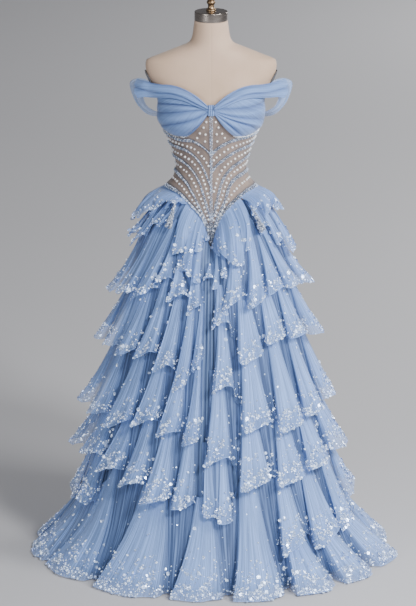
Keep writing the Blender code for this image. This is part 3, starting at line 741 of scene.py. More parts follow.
@dataclass(frozen=True)
class Gloss(Finish):
    """Glass, pearl or foil: small bright trimmings that vary piece by piece.

    Attributes:
        one: One of their colours.
        other: The other colour.
        roughness: Their mean roughness.
        metal: How metallic they are.
        spread: Noise to a metre, which picks each one's colour.
        glint: How strongly the brightest ones glow: a painted glint, though they are no
            lamp.
        glow: The colour of that painted glint.
    """

    one: Colour
    other: Colour
    roughness: float
    metal: float
    spread: float = 160.0
    glint: float = 0.0
    glow: Colour = (0.84, 0.92, 1.0)

    def inputs(self, graph: Graph) -> dict[str, Any]:
        """Add its nodes.

        Args:
            graph: Its node tree.

        Returns:
            The shader's inputs.
        """
        spot = graph.add("ShaderNodeTexCoord").outputs["Object"]
        tint = graph.noise(spot, self.spread, 1.0)
        share = graph.ramp(tint, 0.38, 0.62, 0.0, 1.0)
        # A painted glint: the brightest spots glow in the glow colour, though they are no
        # lamp.
        spark = graph.ramp(tint, 0.41, 0.37, 0.05, 1.0)
        return {
            "Base Color": graph.blend(share, self.one, self.other),
            "Roughness": graph.ramp(tint, 0.3, 0.7, self.roughness * 0.7,
                                    self.roughness * 1.3),
            "Metallic": self.metal,
            "Coat Weight": 0.3, "Coat Roughness": 0.1,
            "Emission Color": graph.blend(spark, BLACK, self.glow),
            "Emission Strength": self.glint,
        }


@dataclass(frozen=True)
class Backdrop(Finish):
    """The studio's plain floor.

    Attributes:
        colour: Its colour.
        dim: How much darker it is in soft clouds.
    """

    colour: Colour
    dim: float = 0.96

    def inputs(self, graph: Graph) -> dict[str, Any]:
        """Add its nodes.

        Args:
            graph: Its node tree.

        Returns:
            The shader's inputs.
        """
        spot = graph.add("ShaderNodeTexCoord").outputs["Object"]
        cloud = graph.noise(spot, 0.6, 2.0)
        darker = tuple(self.dim * part for part in self.colour)
        return {"Base Color": graph.blend(cloud, darker, self.colour), "Roughness": 0.9}


TULLE = Tulle("powder_tulle", (0.29, 0.49, 1.0), (0.05, 0.10, 0.25), body=0.87, hem=0.46,
              contrast=0.24)
DRAPE_TULLE = Tulle("drape_tulle", (0.26, 0.44, 0.90), (0.08, 0.16, 0.39), body=0.90,
                    hem=0.50, band=0.05, contrast=0.13)
UNDER_TULLE = Tulle("under_tulle", (0.15, 0.25, 0.49), (0.05, 0.095, 0.22), body=1.0,
                    hem=0.9, contrast=0.20)
CUP_TULLE = Tulle("cup_tulle", (0.19, 0.33, 0.67), (0.06, 0.115, 0.30), body=1.0, hem=0.97,
                  band=0.004, streak=5.0, fall=240.0, contrast=0.13)
SLEEVE_TULLE = Tulle("sleeve_tulle", (0.33, 0.50, 0.86), (0.13, 0.24, 0.53), body=0.74,
                     hem=0.66, band=0.01, streak=5.0, fall=240.0, contrast=0.16)
NUDE = NudeMesh("nude_mesh", (0.44, 0.335, 0.275), (0.14, 0.125, 0.13), (0.04, 0.055, 0.09))
JERSEY = Jersey("form_jersey", (0.60, 0.43, 0.32), (0.52, 0.37, 0.26))
STEEL = Metal("brushed_cap", (0.34, 0.30, 0.27), (0.50, 0.45, 0.41), 0.26)
BRONZE = Metal("dark_bronze", (0.16, 0.10, 0.06), (0.38, 0.27, 0.16), 0.34)
IRON = Metal("stand_paint", (0.10, 0.10, 0.11), (0.15, 0.15, 0.16), 0.45, 0.3)
# Pearls, clasp beads and sequins glow with a painted glint.
PEARL = Gloss("pearl", (0.95, 0.94, 0.92), (0.80, 0.85, 0.94), 0.22, 0.15, glint=0.10)
BEAD = Gloss("cord_bead", (0.50, 0.60, 0.80), (0.88, 0.92, 1.0), 0.20, 0.20, spread=520.0)
SHADE_BEAD = Gloss("cord_shade_bead", (0.15, 0.21, 0.33), (0.42, 0.53, 0.73), 0.20, 0.25,
                   spread=520.0)
DARK_BEAD = Gloss("edge_bead", (0.01, 0.015, 0.03), (0.26, 0.29, 0.36), 0.2, 0.3,
                  spread=420.0)
CLASP_BEAD = Gloss("clasp_bead", (0.66, 0.74, 0.90), (0.14, 0.17, 0.25), 0.16, 0.30,
                   spread=420.0, glint=0.10)
SEQUIN = Gloss("sequin_foil", (0.54, 0.70, 0.97), (0.24, 0.37, 0.68), 0.20, 0.20,
               spread=230.0, glint=1.50)
FLOOR = Backdrop("pale_floor", (0.56, 0.56, 0.58))


# ---------------- small trimmings
SEQUIN_SIDES = 6
SEQUIN_RADIUS = 0.0053
HALF_TURN = 3.1              # how far a sequin may be turned either way, in radians
SIZE_SEED = 3                # the fixed seed of the sequins' sizes


class Trim(Enum):
    """What a trimming is scattered as."""

    SEQUIN = "sequin"
    BEAD = "bead"


@dataclass(frozen=True)
class Scatter:
    """Geometry nodes that put one small shape at many spots.

    Attributes:
        trim: A flat sequin over a face, or a round bead at each vertex.
        look: Its material.
        radius: Its radius; a bead's is its own "size" times this.
        density: Sequins to a square metre where the cloth's "sequin" is 1.
        lift: How far a sequin lies off the cloth.
        tilt: How far a sequin may tip, in radians.
        seed: The scatter's fixed seed.
        rounds: How finely a bead is rounded.
        sizes: A sequin's least and greatest size, as shares of the radius.
        small: How much commoner small sequins are; 1 is even.
    """

    trim: Trim
    look: Material
    radius: float = 1.0
    density: float = 0.0
    lift: float = 0.0012
    tilt: float = 0.5
    seed: int = 7
    rounds: int = 1
    sizes: tuple[float, float] = (0.26, 1.15)
    small: float = 2.8

    def sockets(self) -> dict[str, tuple[str, Any]]:
        """The tree's own inputs, with their types and values."""
        number, whole = "NodeSocketFloat", "NodeSocketInt"
        return {
            "Radius": (number, self.radius), "Density": (number, self.density),
            "Lift": (number, self.lift), "Tilt": (number, self.tilt),
            "Seed": (whole, self.seed), "Rounds": (whole, self.rounds),
            "Least": (number, self.sizes[0]), "Most": (number, self.sizes[1]),
            "Small": (number, self.small),
        }

    def tree(self) -> NodeTree:
        """Build the node tree with its named inputs.

        Returns:
            The tree, which ends in Realize Instances and Set Material.
        """
        tree = bpy.data.node_groups.new(f"scatter_{self.trim.value}", "GeometryNodeTree")
        graph = Graph(tree)
        face = tree.interface
        face.new_socket(name="Geometry", in_out="INPUT", socket_type="NodeSocketGeometry")
        for name, (kind, _) in self.sockets().items():
            face.new_socket(name=name, in_out="INPUT", socket_type=kind)
        face.new_socket(name="Geometry", in_out="OUTPUT", socket_type="NodeSocketGeometry")
        given = graph.add("NodeGroupInput").outputs
        build = self.sequins if self.trim is Trim.SEQUIN else self.beads
        placed = build(graph, given)
        real = graph.add("GeometryNodeRealizeInstances", {0: placed}).outputs[0]
        dressed = graph.add("GeometryNodeSetMaterial", {"Geometry": real})
        dressed.inputs["Material"].default_value = self.look
        graph.add("NodeGroupOutput", {0: dressed.outputs[0]})
        return tree

    @staticmethod
    def sequins(graph: Graph, given: Any) -> Socket:
        """Place sequins over the faces by the cloth's own density.

        Args:
            graph: The tree that is being built.
            given: The tree's inputs.

        Returns:
            The placed sequins.
        """
        thick = graph.add("GeometryNodeInputNamedAttribute", data_type="FLOAT")
        thick.inputs["Name"].default_value = "sequin"
        density = graph.math("MULTIPLY", thick.outputs[0], given["Density"])
        spread = graph.add("GeometryNodeDistributePointsOnFaces", {
            "Mesh": given["Geometry"], "Density": density, "Seed": given["Seed"],
        })
        rise = graph.add("ShaderNodeVectorMath", {
            0: spread.outputs["Normal"], "Scale": given["Lift"],
        }, operation="SCALE").outputs[0]
        off = graph.add("GeometryNodeSetPosition", {
            "Geometry": spread.outputs["Points"], "Offset": rise,
        })
        tip = graph.add("FunctionNodeRandomValue", {"Seed": given["Seed"]},
                        data_type="FLOAT_VECTOR")
        back = graph.math("MULTIPLY", given["Tilt"], -1.0)
        for place_in, tilt, spin in ((0, back, -HALF_TURN), (1, given["Tilt"], HALF_TURN)):
            end = graph.add("ShaderNodeCombineXYZ", {0: tilt, 1: tilt, 2: spin})
            graph.tree.links.new(end.outputs[0], tip.inputs[place_in])
        turn = graph.add("FunctionNodeRotateRotation", {
            0: spread.outputs["Rotation"],
            1: graph.add("FunctionNodeEulerToRotation", {0: tip.outputs[0]}).outputs[0],
        }, rotation_space="LOCAL")
        chance = graph.add("FunctionNodeRandomValue", {2: 0.0, 3: 1.0, "Seed": SIZE_SEED},
                           data_type="FLOAT").outputs[1]
        share = graph.math("POWER", chance, given["Small"])
        size = graph.ramp(share, 0.0, 1.0, given["Least"], given["Most"])
        disc = graph.add("GeometryNodeMeshCircle", {
            "Vertices": SEQUIN_SIDES, "Radius": given["Radius"],
        }, fill_type="NGON")
        placed = graph.add("GeometryNodeInstanceOnPoints", {
            "Points": off.outputs[0], "Instance": disc.outputs[0],
            "Rotation": turn.outputs[0], "Scale": size,
        })
        return placed.outputs[0]

    @staticmethod
    def beads(graph: Graph, given: Any) -> Socket:
        """Place a bead at every vertex, at the vertex's own size.

        Args:
            graph: The tree that is being built.
            given: The tree's inputs.

        Returns:
            The placed beads.
        """
        ball = graph.add("GeometryNodeMeshIcoSphere", {
            "Radius": given["Radius"], "Subdivisions": given["Rounds"],
        })
        smooth = graph.add("GeometryNodeSetShadeSmooth", {0: ball.outputs[0]})
        size = graph.add("GeometryNodeInputNamedAttribute", data_type="FLOAT")
        size.inputs["Name"].default_value = "size"
        placed = graph.add("GeometryNodeInstanceOnPoints", {
            "Points": given["Geometry"], "Instance": smooth.outputs[0],
            "Scale": size.outputs[0],
        })
        return placed.outputs[0]

    def grown(self, host: Mesh) -> Mesh:
        """Run the nodes on a mesh and keep their result as a plain mesh.

        Args:
            host: The cloth or the bead spots.

        Returns:
            A new mesh of the trimmings alone.
        """
        carrier = add_plain("carrier", host)
        nodes = carrier.modifiers.new("scatter", "NODES")
        nodes.node_group = self.tree()
        inputs = {item.name: item.identifier
                  for item in nodes.node_group.interface.items_tree
                  if item.in_out == "INPUT"}
        for name, (_, value) in self.sockets().items():
            nodes[inputs[name]] = value
        depsgraph = bpy.context.evaluated_depsgraph_get()
        mesh = bpy.data.meshes.new_from_object(carrier.evaluated_get(depsgraph))
        carrier.modifiers.clear()
        bpy.data.objects.remove(carrier)
        return mesh


def spot_mesh(points: Array, sizes: Array) -> Mesh:
    """A mesh of loose vertices for beads.

    Args:
        points: Where the beads' middles lie.
        sizes: Their radii.

    Returns:
        The new mesh, with each bead's radius as its vertex's "size".
    """
    mesh = bpy.data.meshes.new("spots")
    mesh.from_pydata(points.tolist(), [], [])
    made = mesh.attributes.new("size", "FLOAT", "POINT")
    made.data.foreach_set("value", np.asarray(sizes, dtype=np.float32))
    return mesh


# ---------------- the form
@dataclass
class Turned:
    """A piece turned round the figure's axis from heights and radii.

    Attributes:
        name: The piece's name and the node that it stands for.
        profile: Heights and radii from the top down.
        slot: Its material slot; not used.
        rows: Rings between the profile's ends.
        columns: Columns round it.
    """

    name: str
    profile: Rows
    slot: str
    rows: int = 60
    columns: int = 64

    def build(self, look: Material) -> Object:
        """Turn the smoothed profile and close its ends.

        Args:
            look: Its material.

        Returns:
            The new object, in its node's place.
        """
        steps = np.arange(len(self.profile), dtype=float)
        table = [(step, *row) for step, row in zip(steps, self.profile)]
        smooth = SmoothTable(tuple(table))
        keys = np.linspace(0.0, steps[-1], self.rows)[:, None]
        angle = np.linspace(0.0, 2.0 * pi, self.columns, endpoint=False)
        points = place(angle, smooth.read(keys, 2), smooth.read(keys, 1))
        made = add_object(self.name, closed_mesh(self.name, points), look)
        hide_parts(self.name)
        return made


def closed_mesh(name: str, points: Array, values: dict[str, Array] | None = None) -> Mesh:
    """A closed body from rings of points, its two ends filled.

    Args:
        name: The mesh's name.
        points: The rings from the top down.
        values: Named numbers at the points.

    Returns:
        The new mesh.
    """
    mesh = Cloth.laid(points, values, closed=True).mesh(name)
    net = bmesh.new()
    net.from_mesh(mesh)
    ends = [edge for edge in net.edges if edge.is_boundary]
    filled = bmesh.ops.holes_fill(net, edges=ends, sides=0)
    for face in filled["faces"]:
        face.smooth = False
    net.to_mesh(mesh)
    net.free()
    return mesh


@dataclass
class DressForm:
    """The limbless form: its trunk, neck cap, finial, arm plates and stand.

    Attributes:
        slim: How much slimmer the trunk is where it is dressed.
        dressed_top: Where the dress starts.
        fade: The height over which the trunk narrows.
        span: The heights of its top and its foot.
        rows: Rings of the trunk.
        columns: Columns round it.
        packed: How much closer they lie in front.
        seam: Half the width of its centre seam.
        sunk: How deep the seam lies.
        seam_shade: How dark it is.
        cap_profile: Heights and radii of the neck cap from the top down.
        finial_profile: Heights and radii of the finial from the top down.
        painted: The nodes of the stand that keep their solids.
    """

    slim: float = 0.0045
    dressed_top: float = 1.366
    fade: float = 0.030
    span: tuple[float, float] = (1.545, 0.800)
    rows: int = 120
    columns: int = 112
    packed: float = 0.72
    seam: float = 0.0022
    sunk: float = 0.0003
    seam_shade: float = 0.07
    cap_profile: Rows = (
        (1.5714, 0.002), (1.5713, 0.03), (1.5709, 0.044), (1.5702, 0.0458),
        (1.569, 0.0466), (1.564, 0.0467), (1.556, 0.0467), (1.5468, 0.0466),
        (1.5456, 0.0461), (1.5454, 0.044),
    )
    finial_profile: Rows = (
        (1.6454, 0.001), (1.645, 0.0034), (1.642, 0.0084), (1.637, 0.0132),
        (1.6314, 0.0165), (1.625, 0.0184), (1.619, 0.019), (1.613, 0.018),
        (1.608, 0.015), (1.6034, 0.0112), (1.6012, 0.0098), (1.6, 0.01),
        (1.5985, 0.0116), (1.595, 0.0122), (1.5925, 0.0114), (1.59, 0.0094),
        (1.586, 0.0084), (1.582, 0.009), (1.578, 0.0104), (1.5764, 0.013),
        (1.574, 0.0137), (1.5716, 0.0134),
    )
    painted: tuple[str, ...] = (
        "stand_pole", "stand_base", "arm_plate_left", "arm_plate_right",
    )

    def build(self) -> None:
        """Build the form's pieces and dress the stand's solids."""
        self.build_trunk(JERSEY.material())
        Turned("neck_cap", self.cap_profile, "cap_steel").build(STEEL.material())
        Turned("finial", self.finial_profile, "finial_bronze").build(BRONZE.material())
        iron = IRON.material()
        for node in self.painted:
            solid = bpy.data.objects[node]
            for place_in in solid.material_slots:
                place_in.material = iron
            LOG.info("%s: its solid, in stand paint", node)

    def build_trunk(self, look: Material) -> None:
        """Build the smooth trunk with its sunk centre-front seam.

        Args:
            look: Its material.
        """
        height = np.linspace(*self.span, self.rows)[:, None]
        even = np.linspace(-pi, pi, self.columns, endpoint=False)
        angle = even - self.packed * np.sin(even)
        covered = np.clip((self.dressed_top - height) / self.fade, 0.0, 1.0)
        radius = Figure.form_radius(angle, height, -self.slim * covered)
        near = np.exp(-(radius * angle / self.seam) ** 2) * (height < self.span[0])
        points = place(angle, radius - self.sunk * near, height)
        mesh = closed_mesh("form_trunk", points, {"seam": self.seam_shade * near})
        trunk = add_object("form_trunk", mesh, look)
        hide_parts("form_torso")


# ---------------- the bodice
@dataclass
class Bodice:
    """The sheer bodice: four panels, a placket, beaded cords and pearls.

    Attributes:
        rows: Rows of a panel.
        columns: Columns of a front panel.
        front: Degrees of a front panel's ends.
        back: Degrees of a back panel's ends.
        raised: How far the mesh rises under a cord.
        shaded: Half the width of the painted shadow along a cord.
        dark: How dark that painted shadow is.
        point: Height, reach and strength of the dark point in front.
        hem: How far a back panel's edges are darkened.
        placket: Half the placket's width, its crown, its top and its foot.
        back_depth: The form's depth at the placket.
        bead: Radius of a cord's beads.
        gap: From bead to bead along a strand.
        twist: Length of one turn of a cord's two strands.
        swing: How far a strand swings to a side.
        roll: How far a strand rises and sinks.
        cord_out: How far a cord's middle lies off the mesh.
        chest: The form's mean radius, which turns lengths into angles.
        centre: The heights of the centre line's ends.
        tip: Beads, lowest height and rise of the cluster at the point.
        pearl: Radius of a pearl.
        pearl_out: How far its middle lies off the mesh.
        pearl_gap: From pearl to pearl in a row.
        pearl_room: The least room between two cords for a pearl.
        bead_out: How far a loose bead's middle lies off the mesh.
        diamond: Degrees and height of each pearl between the cups.
        cup_edge: Share, degrees and height of the beaded line under a cup.
        cup_beads: How many beads and pearls it has.
        edging: Beads, height and kind of each side's basque edge.
        spots: Where the beads of each kind go.
    """

    rows: int = 110
    columns: int = 70
    front: tuple[float, float] = (0.16, 89.9)
    back: tuple[float, float] = (90.1, 179.85)
    raised: float = 0.0012
    shaded: float = 1.32 * CORD_HALF
    dark: float = 0.95
    point: tuple[float, float, float] = (1.035, 0.085, 0.85)
    hem: float = 0.0045
    placket: tuple[float, float, float, float] = (0.0070, 0.0010, 1.298, 1.064)
    back_depth: float = 0.090
    bead: float = 0.00165
    gap: float = 0.0025
    twist: float = 0.0110
    swing: float = 0.0034
    roll: float = 0.0018
    cord_out: float = 0.0026
    chest: float = 0.11
    centre: tuple[float, float] = (1.300, 0.934)
    tip: tuple[int, float, float] = (230, 0.927, 0.060)
    pearl: float = 0.0033
    pearl_out: float = 0.0016
    pearl_gap: float = 0.0124
    pearl_room: float = 0.011
    bead_out: float = 0.0034
    diamond: Rows = (
        (-6.2, 1.2815), (5.8, 1.2812), (-9.6, 1.2653), (9.2, 1.2657), (-15.0, 1.247),
        (14.6, 1.2462), (-7.6, 1.244), (7.4, 1.245), (-19.8, 1.2316), (19.2, 1.232),
        (-8.8, 1.2219), (8.8, 1.2222),
    )
    cup_edge: SmoothTable = SmoothTable((
        (0.0, 90.0, 1.244), (0.25, 75.0, 1.236), (0.5, 52.0, 1.23),
        (0.75, 34.0, 1.233), (0.88, 21.0, 1.266), (1.0, 8.0, 1.301),
    ))
    cup_beads: int = 64
    edging: dict[Side, tuple[int, float, str]] = field(default_factory=lambda: {
        Side.LEFT: (110, 0.0045, "cord"), Side.RIGHT: (190, 0.0120, "dark"),
    })
    spots: dict[str, list] = field(default_factory=dict)

    def build(self) -> None:
        """Build the panels and all their beads."""
        look = NUDE.material()
        for side in Side:
            self.build_front(side, look)
            self.build_back(side, look)
            self.string_cords(side)
            self.string_pearls(side)
            self.string_edges(side)
        self.build_placket(look)
        self.string_centre()
        self.finish_beads()

    @staticmethod
    def cord(side: Side, index: int, degrees: Array) -> Array:
        """The height of a beaded cord's middle.

        Args:
            side: The cord's side.
            index: Its number, from 1 for the highest one.
            degrees: Angles from the front, without their sign.

        Returns:
            The heights.
        """
        table = LEFT_CORDS if side is Side.LEFT else RIGHT_CORDS
        lift = CORD_HALF if index == CORD_COUNT else 0.0
        return table.read(degrees, index) + lift

    def heights(self, top: Array | float, foot: Array | float) -> Array:
        """A panel's heights, a row at a time from its top to its foot."""
        return top + (foot - top) * np.linspace(0.0, 1.0, self.rows)[:, None]

    def build_front(self, side: Side, look: Material) -> None:
        """Build a front panel with its raised cords.

        Args:
            side: The panel's side.
            look: Its material.
        """
        degrees = np.linspace(*self.front, self.columns)
        foot = self.cord(side, CORD_COUNT, degrees) - CORD_HALF
        height = self.heights(BODICE_TOP.read(degrees), foot)
        near = np.zeros_like(height)
        # near is the painted shadow along each cord, then the darker point in front.
        for index in range(1, CORD_COUNT + 1):
            off = (height - self.cord(side, index, degrees)) / self.shaded
            near = np.maximum(near, np.exp(-off ** 4))
        start, reach, strength = self.point
        near = np.maximum(near, strength * eased((start - height) / reach))
        angle = np.radians(degrees) * side.value
        out = BODICE_OUT + self.raised * near
        points = place(angle, Figure.form_radius(angle, height, out), height)
        cloth = Cloth.laid(points, {"cord": self.dark * near}, turned=side is Side.LEFT)
        PANEL.lay(f"bodice_front_{side.word}", cloth, look)

    def build_back(self, side: Side, look: Material) -> None:
        """Build a plain back panel, a little darker at its edges.

        Args:
            side: The panel's side.
            look: Its material.
        """
        degrees = np.linspace(*self.back, self.columns)
        top, foot = BODICE_TOP.read(degrees), Figure.basque(degrees)
        height = self.heights(top, foot)
        angle = np.radians(degrees) * side.value
        points = place(angle, Figure.form_radius(angle, height, BODICE_OUT), height)
        edge = np.minimum(height - foot, top - height)
        values = {"cord": 0.7 * np.exp(-(edge / self.hem) ** 2)}
        cloth = Cloth.laid(points, values, turned=side is Side.LEFT)
        PANEL.lay(f"bodice_back_{side.word}", cloth, look)

    def build_placket(self, look: Material) -> None:
        """Build the narrow strip over the closing at the centre back.

        Args:
            look: Its material.
        """
        half, crown, top, foot = self.placket
        across = np.linspace(-half, half, 17)
        height = self.heights(top, foot)
        angle = pi + across / self.back_depth
        out = BODICE_OUT + BODICE_WALL + crown * (1.0 - (across / half) ** 2)
        points = place(angle, Figure.form_radius(angle, height, out), height)
        shade = np.full(points.shape[:2], 0.25)
        PANEL.lay("back_placket", Cloth.laid(points, {"cord": shade}), look)

    def add_spots(self, kind: str, points: Array, sizes: Array | float) -> None:
        """Note where beads of one kind go."""
        sizes = np.broadcast_to(sizes, points.shape[:-1])
        self.spots.setdefault(kind, []).append((points, sizes))

    def sew(self, angle: Array, height: Array, lift: float, size: Array | float,
            kind: str) -> None:
        """Sew beads of one kind on the bodice, their middles lifted off its mesh."""
        radius = Figure.form_radius(angle, height, BODICE_OUT + lift)
        self.add_spots(kind, place(angle, radius, height), size)

    def string_line(self, angle: Array, height: Array) -> None:
        """String two twisted strands of beads along a line on the form.

        Args:
            angle: The line's angles, closely spaced, in radians.
            height: Its heights.
        """
        base = place(angle, Figure.form_radius(angle, height, BODICE_OUT), height)
        length = along(base)
        at = np.arange(self.gap / 2.0, length[-1], self.gap)
        angle, height = np.interp(at, length, angle), np.interp(at, length, height)
        slope = np.gradient(height, at)
        level = np.sqrt(np.clip(1.0 - slope * slope, 0.0, 1.0))
        for strand in (0.0, pi):
            turn = 2.0 * pi * at / self.twist + strand
            swing = self.swing * np.cos(turn)
            out = self.cord_out + self.roll * np.sin(turn)
            wobble = 1.0 + 0.22 * jitter(np.arange(len(at)), strand)
            self.sew(angle - swing * slope / self.chest, height + swing * level, out,
                     self.bead * wobble, "shade" if strand else "cord")

    def string_cords(self, side: Side) -> None:
        """String the cords of a side, from the front to the side seam.

        Args:
            side: The bodice's side.
        """
        degrees = np.linspace(0.3, 89.5, 400)
        for index in range(1, CORD_COUNT + 1):
            height = self.cord(side, index, degrees)
            self.string_line(np.radians(degrees) * side.value, height)

    def string_centre(self) -> None:
        """String the centre line, its dark cluster and the pearls over it."""
        height = np.linspace(*self.centre, 300)
        self.string_line(np.zeros_like(height), height)
        rng = np.random.default_rng(11)
        count, foot, rise = self.tip
        low = rng.uniform(0.0, 1.0, count) ** 1.5
        aside = rng.uniform(-1.0, 1.0, count) * np.radians(1.0 + 8.5 * low)
        sizes = rng.uniform(0.0013, 0.0025, count)
        self.sew(aside, foot + rise * low, 0.0046, sizes, "dark")
        degrees, height = np.array(self.diamond).T
        self.sew(np.radians(degrees), height, self.pearl_out, self.pearl, "pearl")

    def string_edges(self, side: Side) -> None:
        """Sew beads over the basque edge and a beaded line under the cup.

        Args:
            side: The bodice's side.
        """
        rng = np.random.default_rng(31 if side is Side.LEFT else 32)
        count, band, kind = self.edging[side]
        degrees = 1.5 + 44.0 * rng.uniform(0.0, 1.0, count) ** 1.2
        height = Figure.basque(degrees * side.value) + rng.uniform(0.001, band, count)
        sizes = rng.uniform(0.0011, 0.0020, count)
        self.sew(np.radians(degrees) * side.value, height, self.bead_out, sizes, kind)
        count = self.cup_beads
        share = np.linspace(0.0, 1.0, count)
        degrees = self.cup_edge.read(share, 1) + rng.uniform(-0.4, 0.4, count)
        height = self.cup_edge.read(share, 2) + rng.uniform(-0.0012, 0.0012, count)
        sizes = rng.uniform(0.0012, 0.0023, count)
        angle = np.radians(degrees) * side.value
        kinds = ("dark" if side is Side.LEFT else "cord", "pearl")
        for first, kind in enumerate(kinds):
            self.sew(angle[first::2], height[first::2], self.bead_out, sizes[first::2],
                     kind)

    def string_pearls(self, side: Side) -> None:
        """Sew a row of pearls between each two cords.

        Args:
            side: The bodice's side.
        """
        degrees = np.linspace(2.5, 89.0, 500)
        angle = np.radians(degrees) * side.value
        rng = np.random.default_rng(21 if side is Side.LEFT else 22)
        lines = [self.cord(side, index, degrees) for index in range(1, CORD_COUNT + 1)]
        for upper, lower in zip(lines, lines[1:]):
            room = upper - lower
            height = lower + room * 0.5
            length = along(place(angle, Figure.form_radius(angle, height), height))
            at = np.arange(self.pearl_gap * 0.5, length[-1], self.pearl_gap)
            at = at + rng.uniform(-0.0012, 0.0012, len(at))
            wide = np.interp(at, length, room) > self.pearl_room
            spot = np.interp(at, length, height)[wide]
            spot = spot + rng.uniform(-0.001, 0.001, len(spot))
            size = self.pearl * rng.uniform(0.85, 1.12, len(spot))
            self.sew(np.interp(at, length, angle)[wide], spot, self.pearl_out, size,
                     "pearl")

    def finish_beads(self) -> None:
        """Make one piece of each kind of bead."""
        kinds = {"cord": (BEAD, 1), "shade": (SHADE_BEAD, 1), "dark": (DARK_BEAD, 1),
                 "pearl": (PEARL, 2)}
        for kind, (finish, rounds) in kinds.items():
            points = np.concatenate([row[0] for row in self.spots[kind]])
            sizes = np.concatenate([row[1] for row in self.spots[kind]])
            look = finish.material()
            scatter = Scatter(Trim.BEAD, look, rounds=rounds)
            mesh = scatter.grown(spot_mesh(points, sizes))
            add_object(f"bodice_{kind}_beads", mesh, look)


PANEL = Sheet(Held.STRETCHED, "form_trunk", "bodice_mesh")


@dataclass
class Cup:
    """A cup: cloth pleated at the knot and fanned out to the side.

    Attributes:
        side: Its side.
        pleats: Its folds.
        rows: Rows down the fan.
        columns: Columns from the knot outwards.
        knot_angle: Degrees from the front where it leaves the knot.
        knot: The heights of its gathered end's top and foot.
        bow: How far its top and its foot are bowed up on the way out.
        fade: How much farther off the mesh it lies at the knot.
        full: How soon its pleats are full, as a share of the way out.
        out: How far it lies off the form.
        puff: How far its middle swells.
        pleat: How high its pleats stand.
        edge: Share, degrees and height along its outer edge, top down.
    """

    side: Side
    pleats: int = 5
    rows: int = 150
    columns: int = 90
    knot_angle: float = 3.4
    knot: tuple[float, float] = (1.3245, 1.3060)
    bow: tuple[float, float] = (0.012, -0.011)
    fade: float = 0.0016
    full: float = 0.45
    out: float = 0.0074
    puff: float = 0.010
    pleat: float = 0.0052
    edge: SmoothTable = SmoothTable((
        (0.0, 77.0, 1.366), (0.12, 78.0, 1.345), (0.25, 80.0, 1.322),
        (0.4, 86.0, 1.294), (0.52, 86.5, 1.27), (0.64, 84.0, 1.246),
        (0.74, 75.0, 1.239), (0.86, 52.0, 1.232), (1.0, 34.0, 1.234),
    ))

    def build(self, look: Material) -> None:
        """Build the cup in its node's place.

        Args:
            look: Its material.
        """
        fan = np.linspace(0.0, 1.0, self.rows)[:, None]
        reach = np.linspace(0.0, 1.0, self.columns)
        angle, height = self.edge.read(fan, 1), self.edge.read(fan, 2)
        start, bow = (pair[0] + (pair[1] - pair[0]) * fan for pair in (self.knot, self.bow))
        degrees = self.knot_angle + (angle - self.knot_angle) * reach
        lift = start + (height - start) * reach + 4.0 * bow * reach * (1.0 - reach)
        fade = 1.0 - reach ** 4
        puff = self.puff * np.sin(pi * reach)
        puff = puff * np.sin(pi * (0.08 + 0.84 * fan))
        drift = 0.42 * np.sin(6.1 * fan + 1.2 * self.side.value) + 0.16 * np.sin(
            4.0 * reach + 7.0 * fan + self.side.value)
        wave = np.abs(np.cos(pi * (self.pleats * fan + drift)))
        minor = np.sin(2.0 * pi * (1.7 * self.pleats * fan + 2.0 * drift))
        fold = 0.90 * wave ** 0.75 + 0.08 * (1.0 + minor) * eased(reach * 2.0)
        size = self.pleat * fade * np.minimum(1.0, reach / self.full)
        out = self.out + self.fade * fade + puff + size * (2.0 * fold - 1.1)
        spot = np.radians(degrees) * self.side.value
        points = place(spot, Figure.form_radius(spot, lift, out), lift)
        # The "fold" value is painted shade in the creases and painted light on the pleats.
        crest = np.clip(fold, 0.0, 1.0) + 0.0 * reach
        cloth = Cloth.laid(points, {"fold": 0.15 + 0.75 * crest},
                           turned=self.side is Side.LEFT)
        sheet = Sheet(Held.GATHERED, f"bodice_front_{self.side.word}_cloth")
        sheet.lay(f"cup_{self.side.word}", cloth, look)


@dataclass
class Knot:
    """The short wrap over the cups' gathered ends, with three pleats.

    Attributes:
        half: Half its width.
        waist: How much narrower it is in its middle.
        depth: The form's depth there.
        path: Step, distance off the form and height, from its top over the front.
    """

    half: float = 0.0098
    waist: float = 0.14
    depth: float = 0.125
    path: SmoothTable = SmoothTable((
        (0, 0.0045, 1.329), (1, 0.0106, 1.3299), (2, 0.0138, 1.324),
        (3, 0.0142, 1.3155), (4, 0.0134, 1.306), (5, 0.0106, 1.2998),
        (6, 0.0078, 1.2999),
    ))

    def build(self, look: Material) -> None:
        """Build the knot in its node's place.

        Args:
            look: Its material.
        """
        key = np.linspace(0.0, 6.0, 60)[:, None]
        waist = 1.0 - self.waist * np.sin(pi * key / 6.0)
        share = np.linspace(-1.0, 1.0, 61)
        across = share * self.half * waist
        ridge = np.abs(np.cos(1.5 * pi * share))
        height = self.path.read(key, 2) + 0.0 * across
        out = self.path.read(key, 1) + 0.0016 * ridge - 0.003 * share ** 6
        angle = across / self.depth
        points = place(angle, Figure.form_radius(angle, height, out), height)
        # The "fold" value is painted light on the ridges and painted shade between them.
        cloth = Cloth.laid(points, {"fold": 0.2 + 0.8 * ridge + 0.0 * key})
        Sheet(Held.GATHERED, "cup_left_cloth").lay("centre_knot", cloth, look)


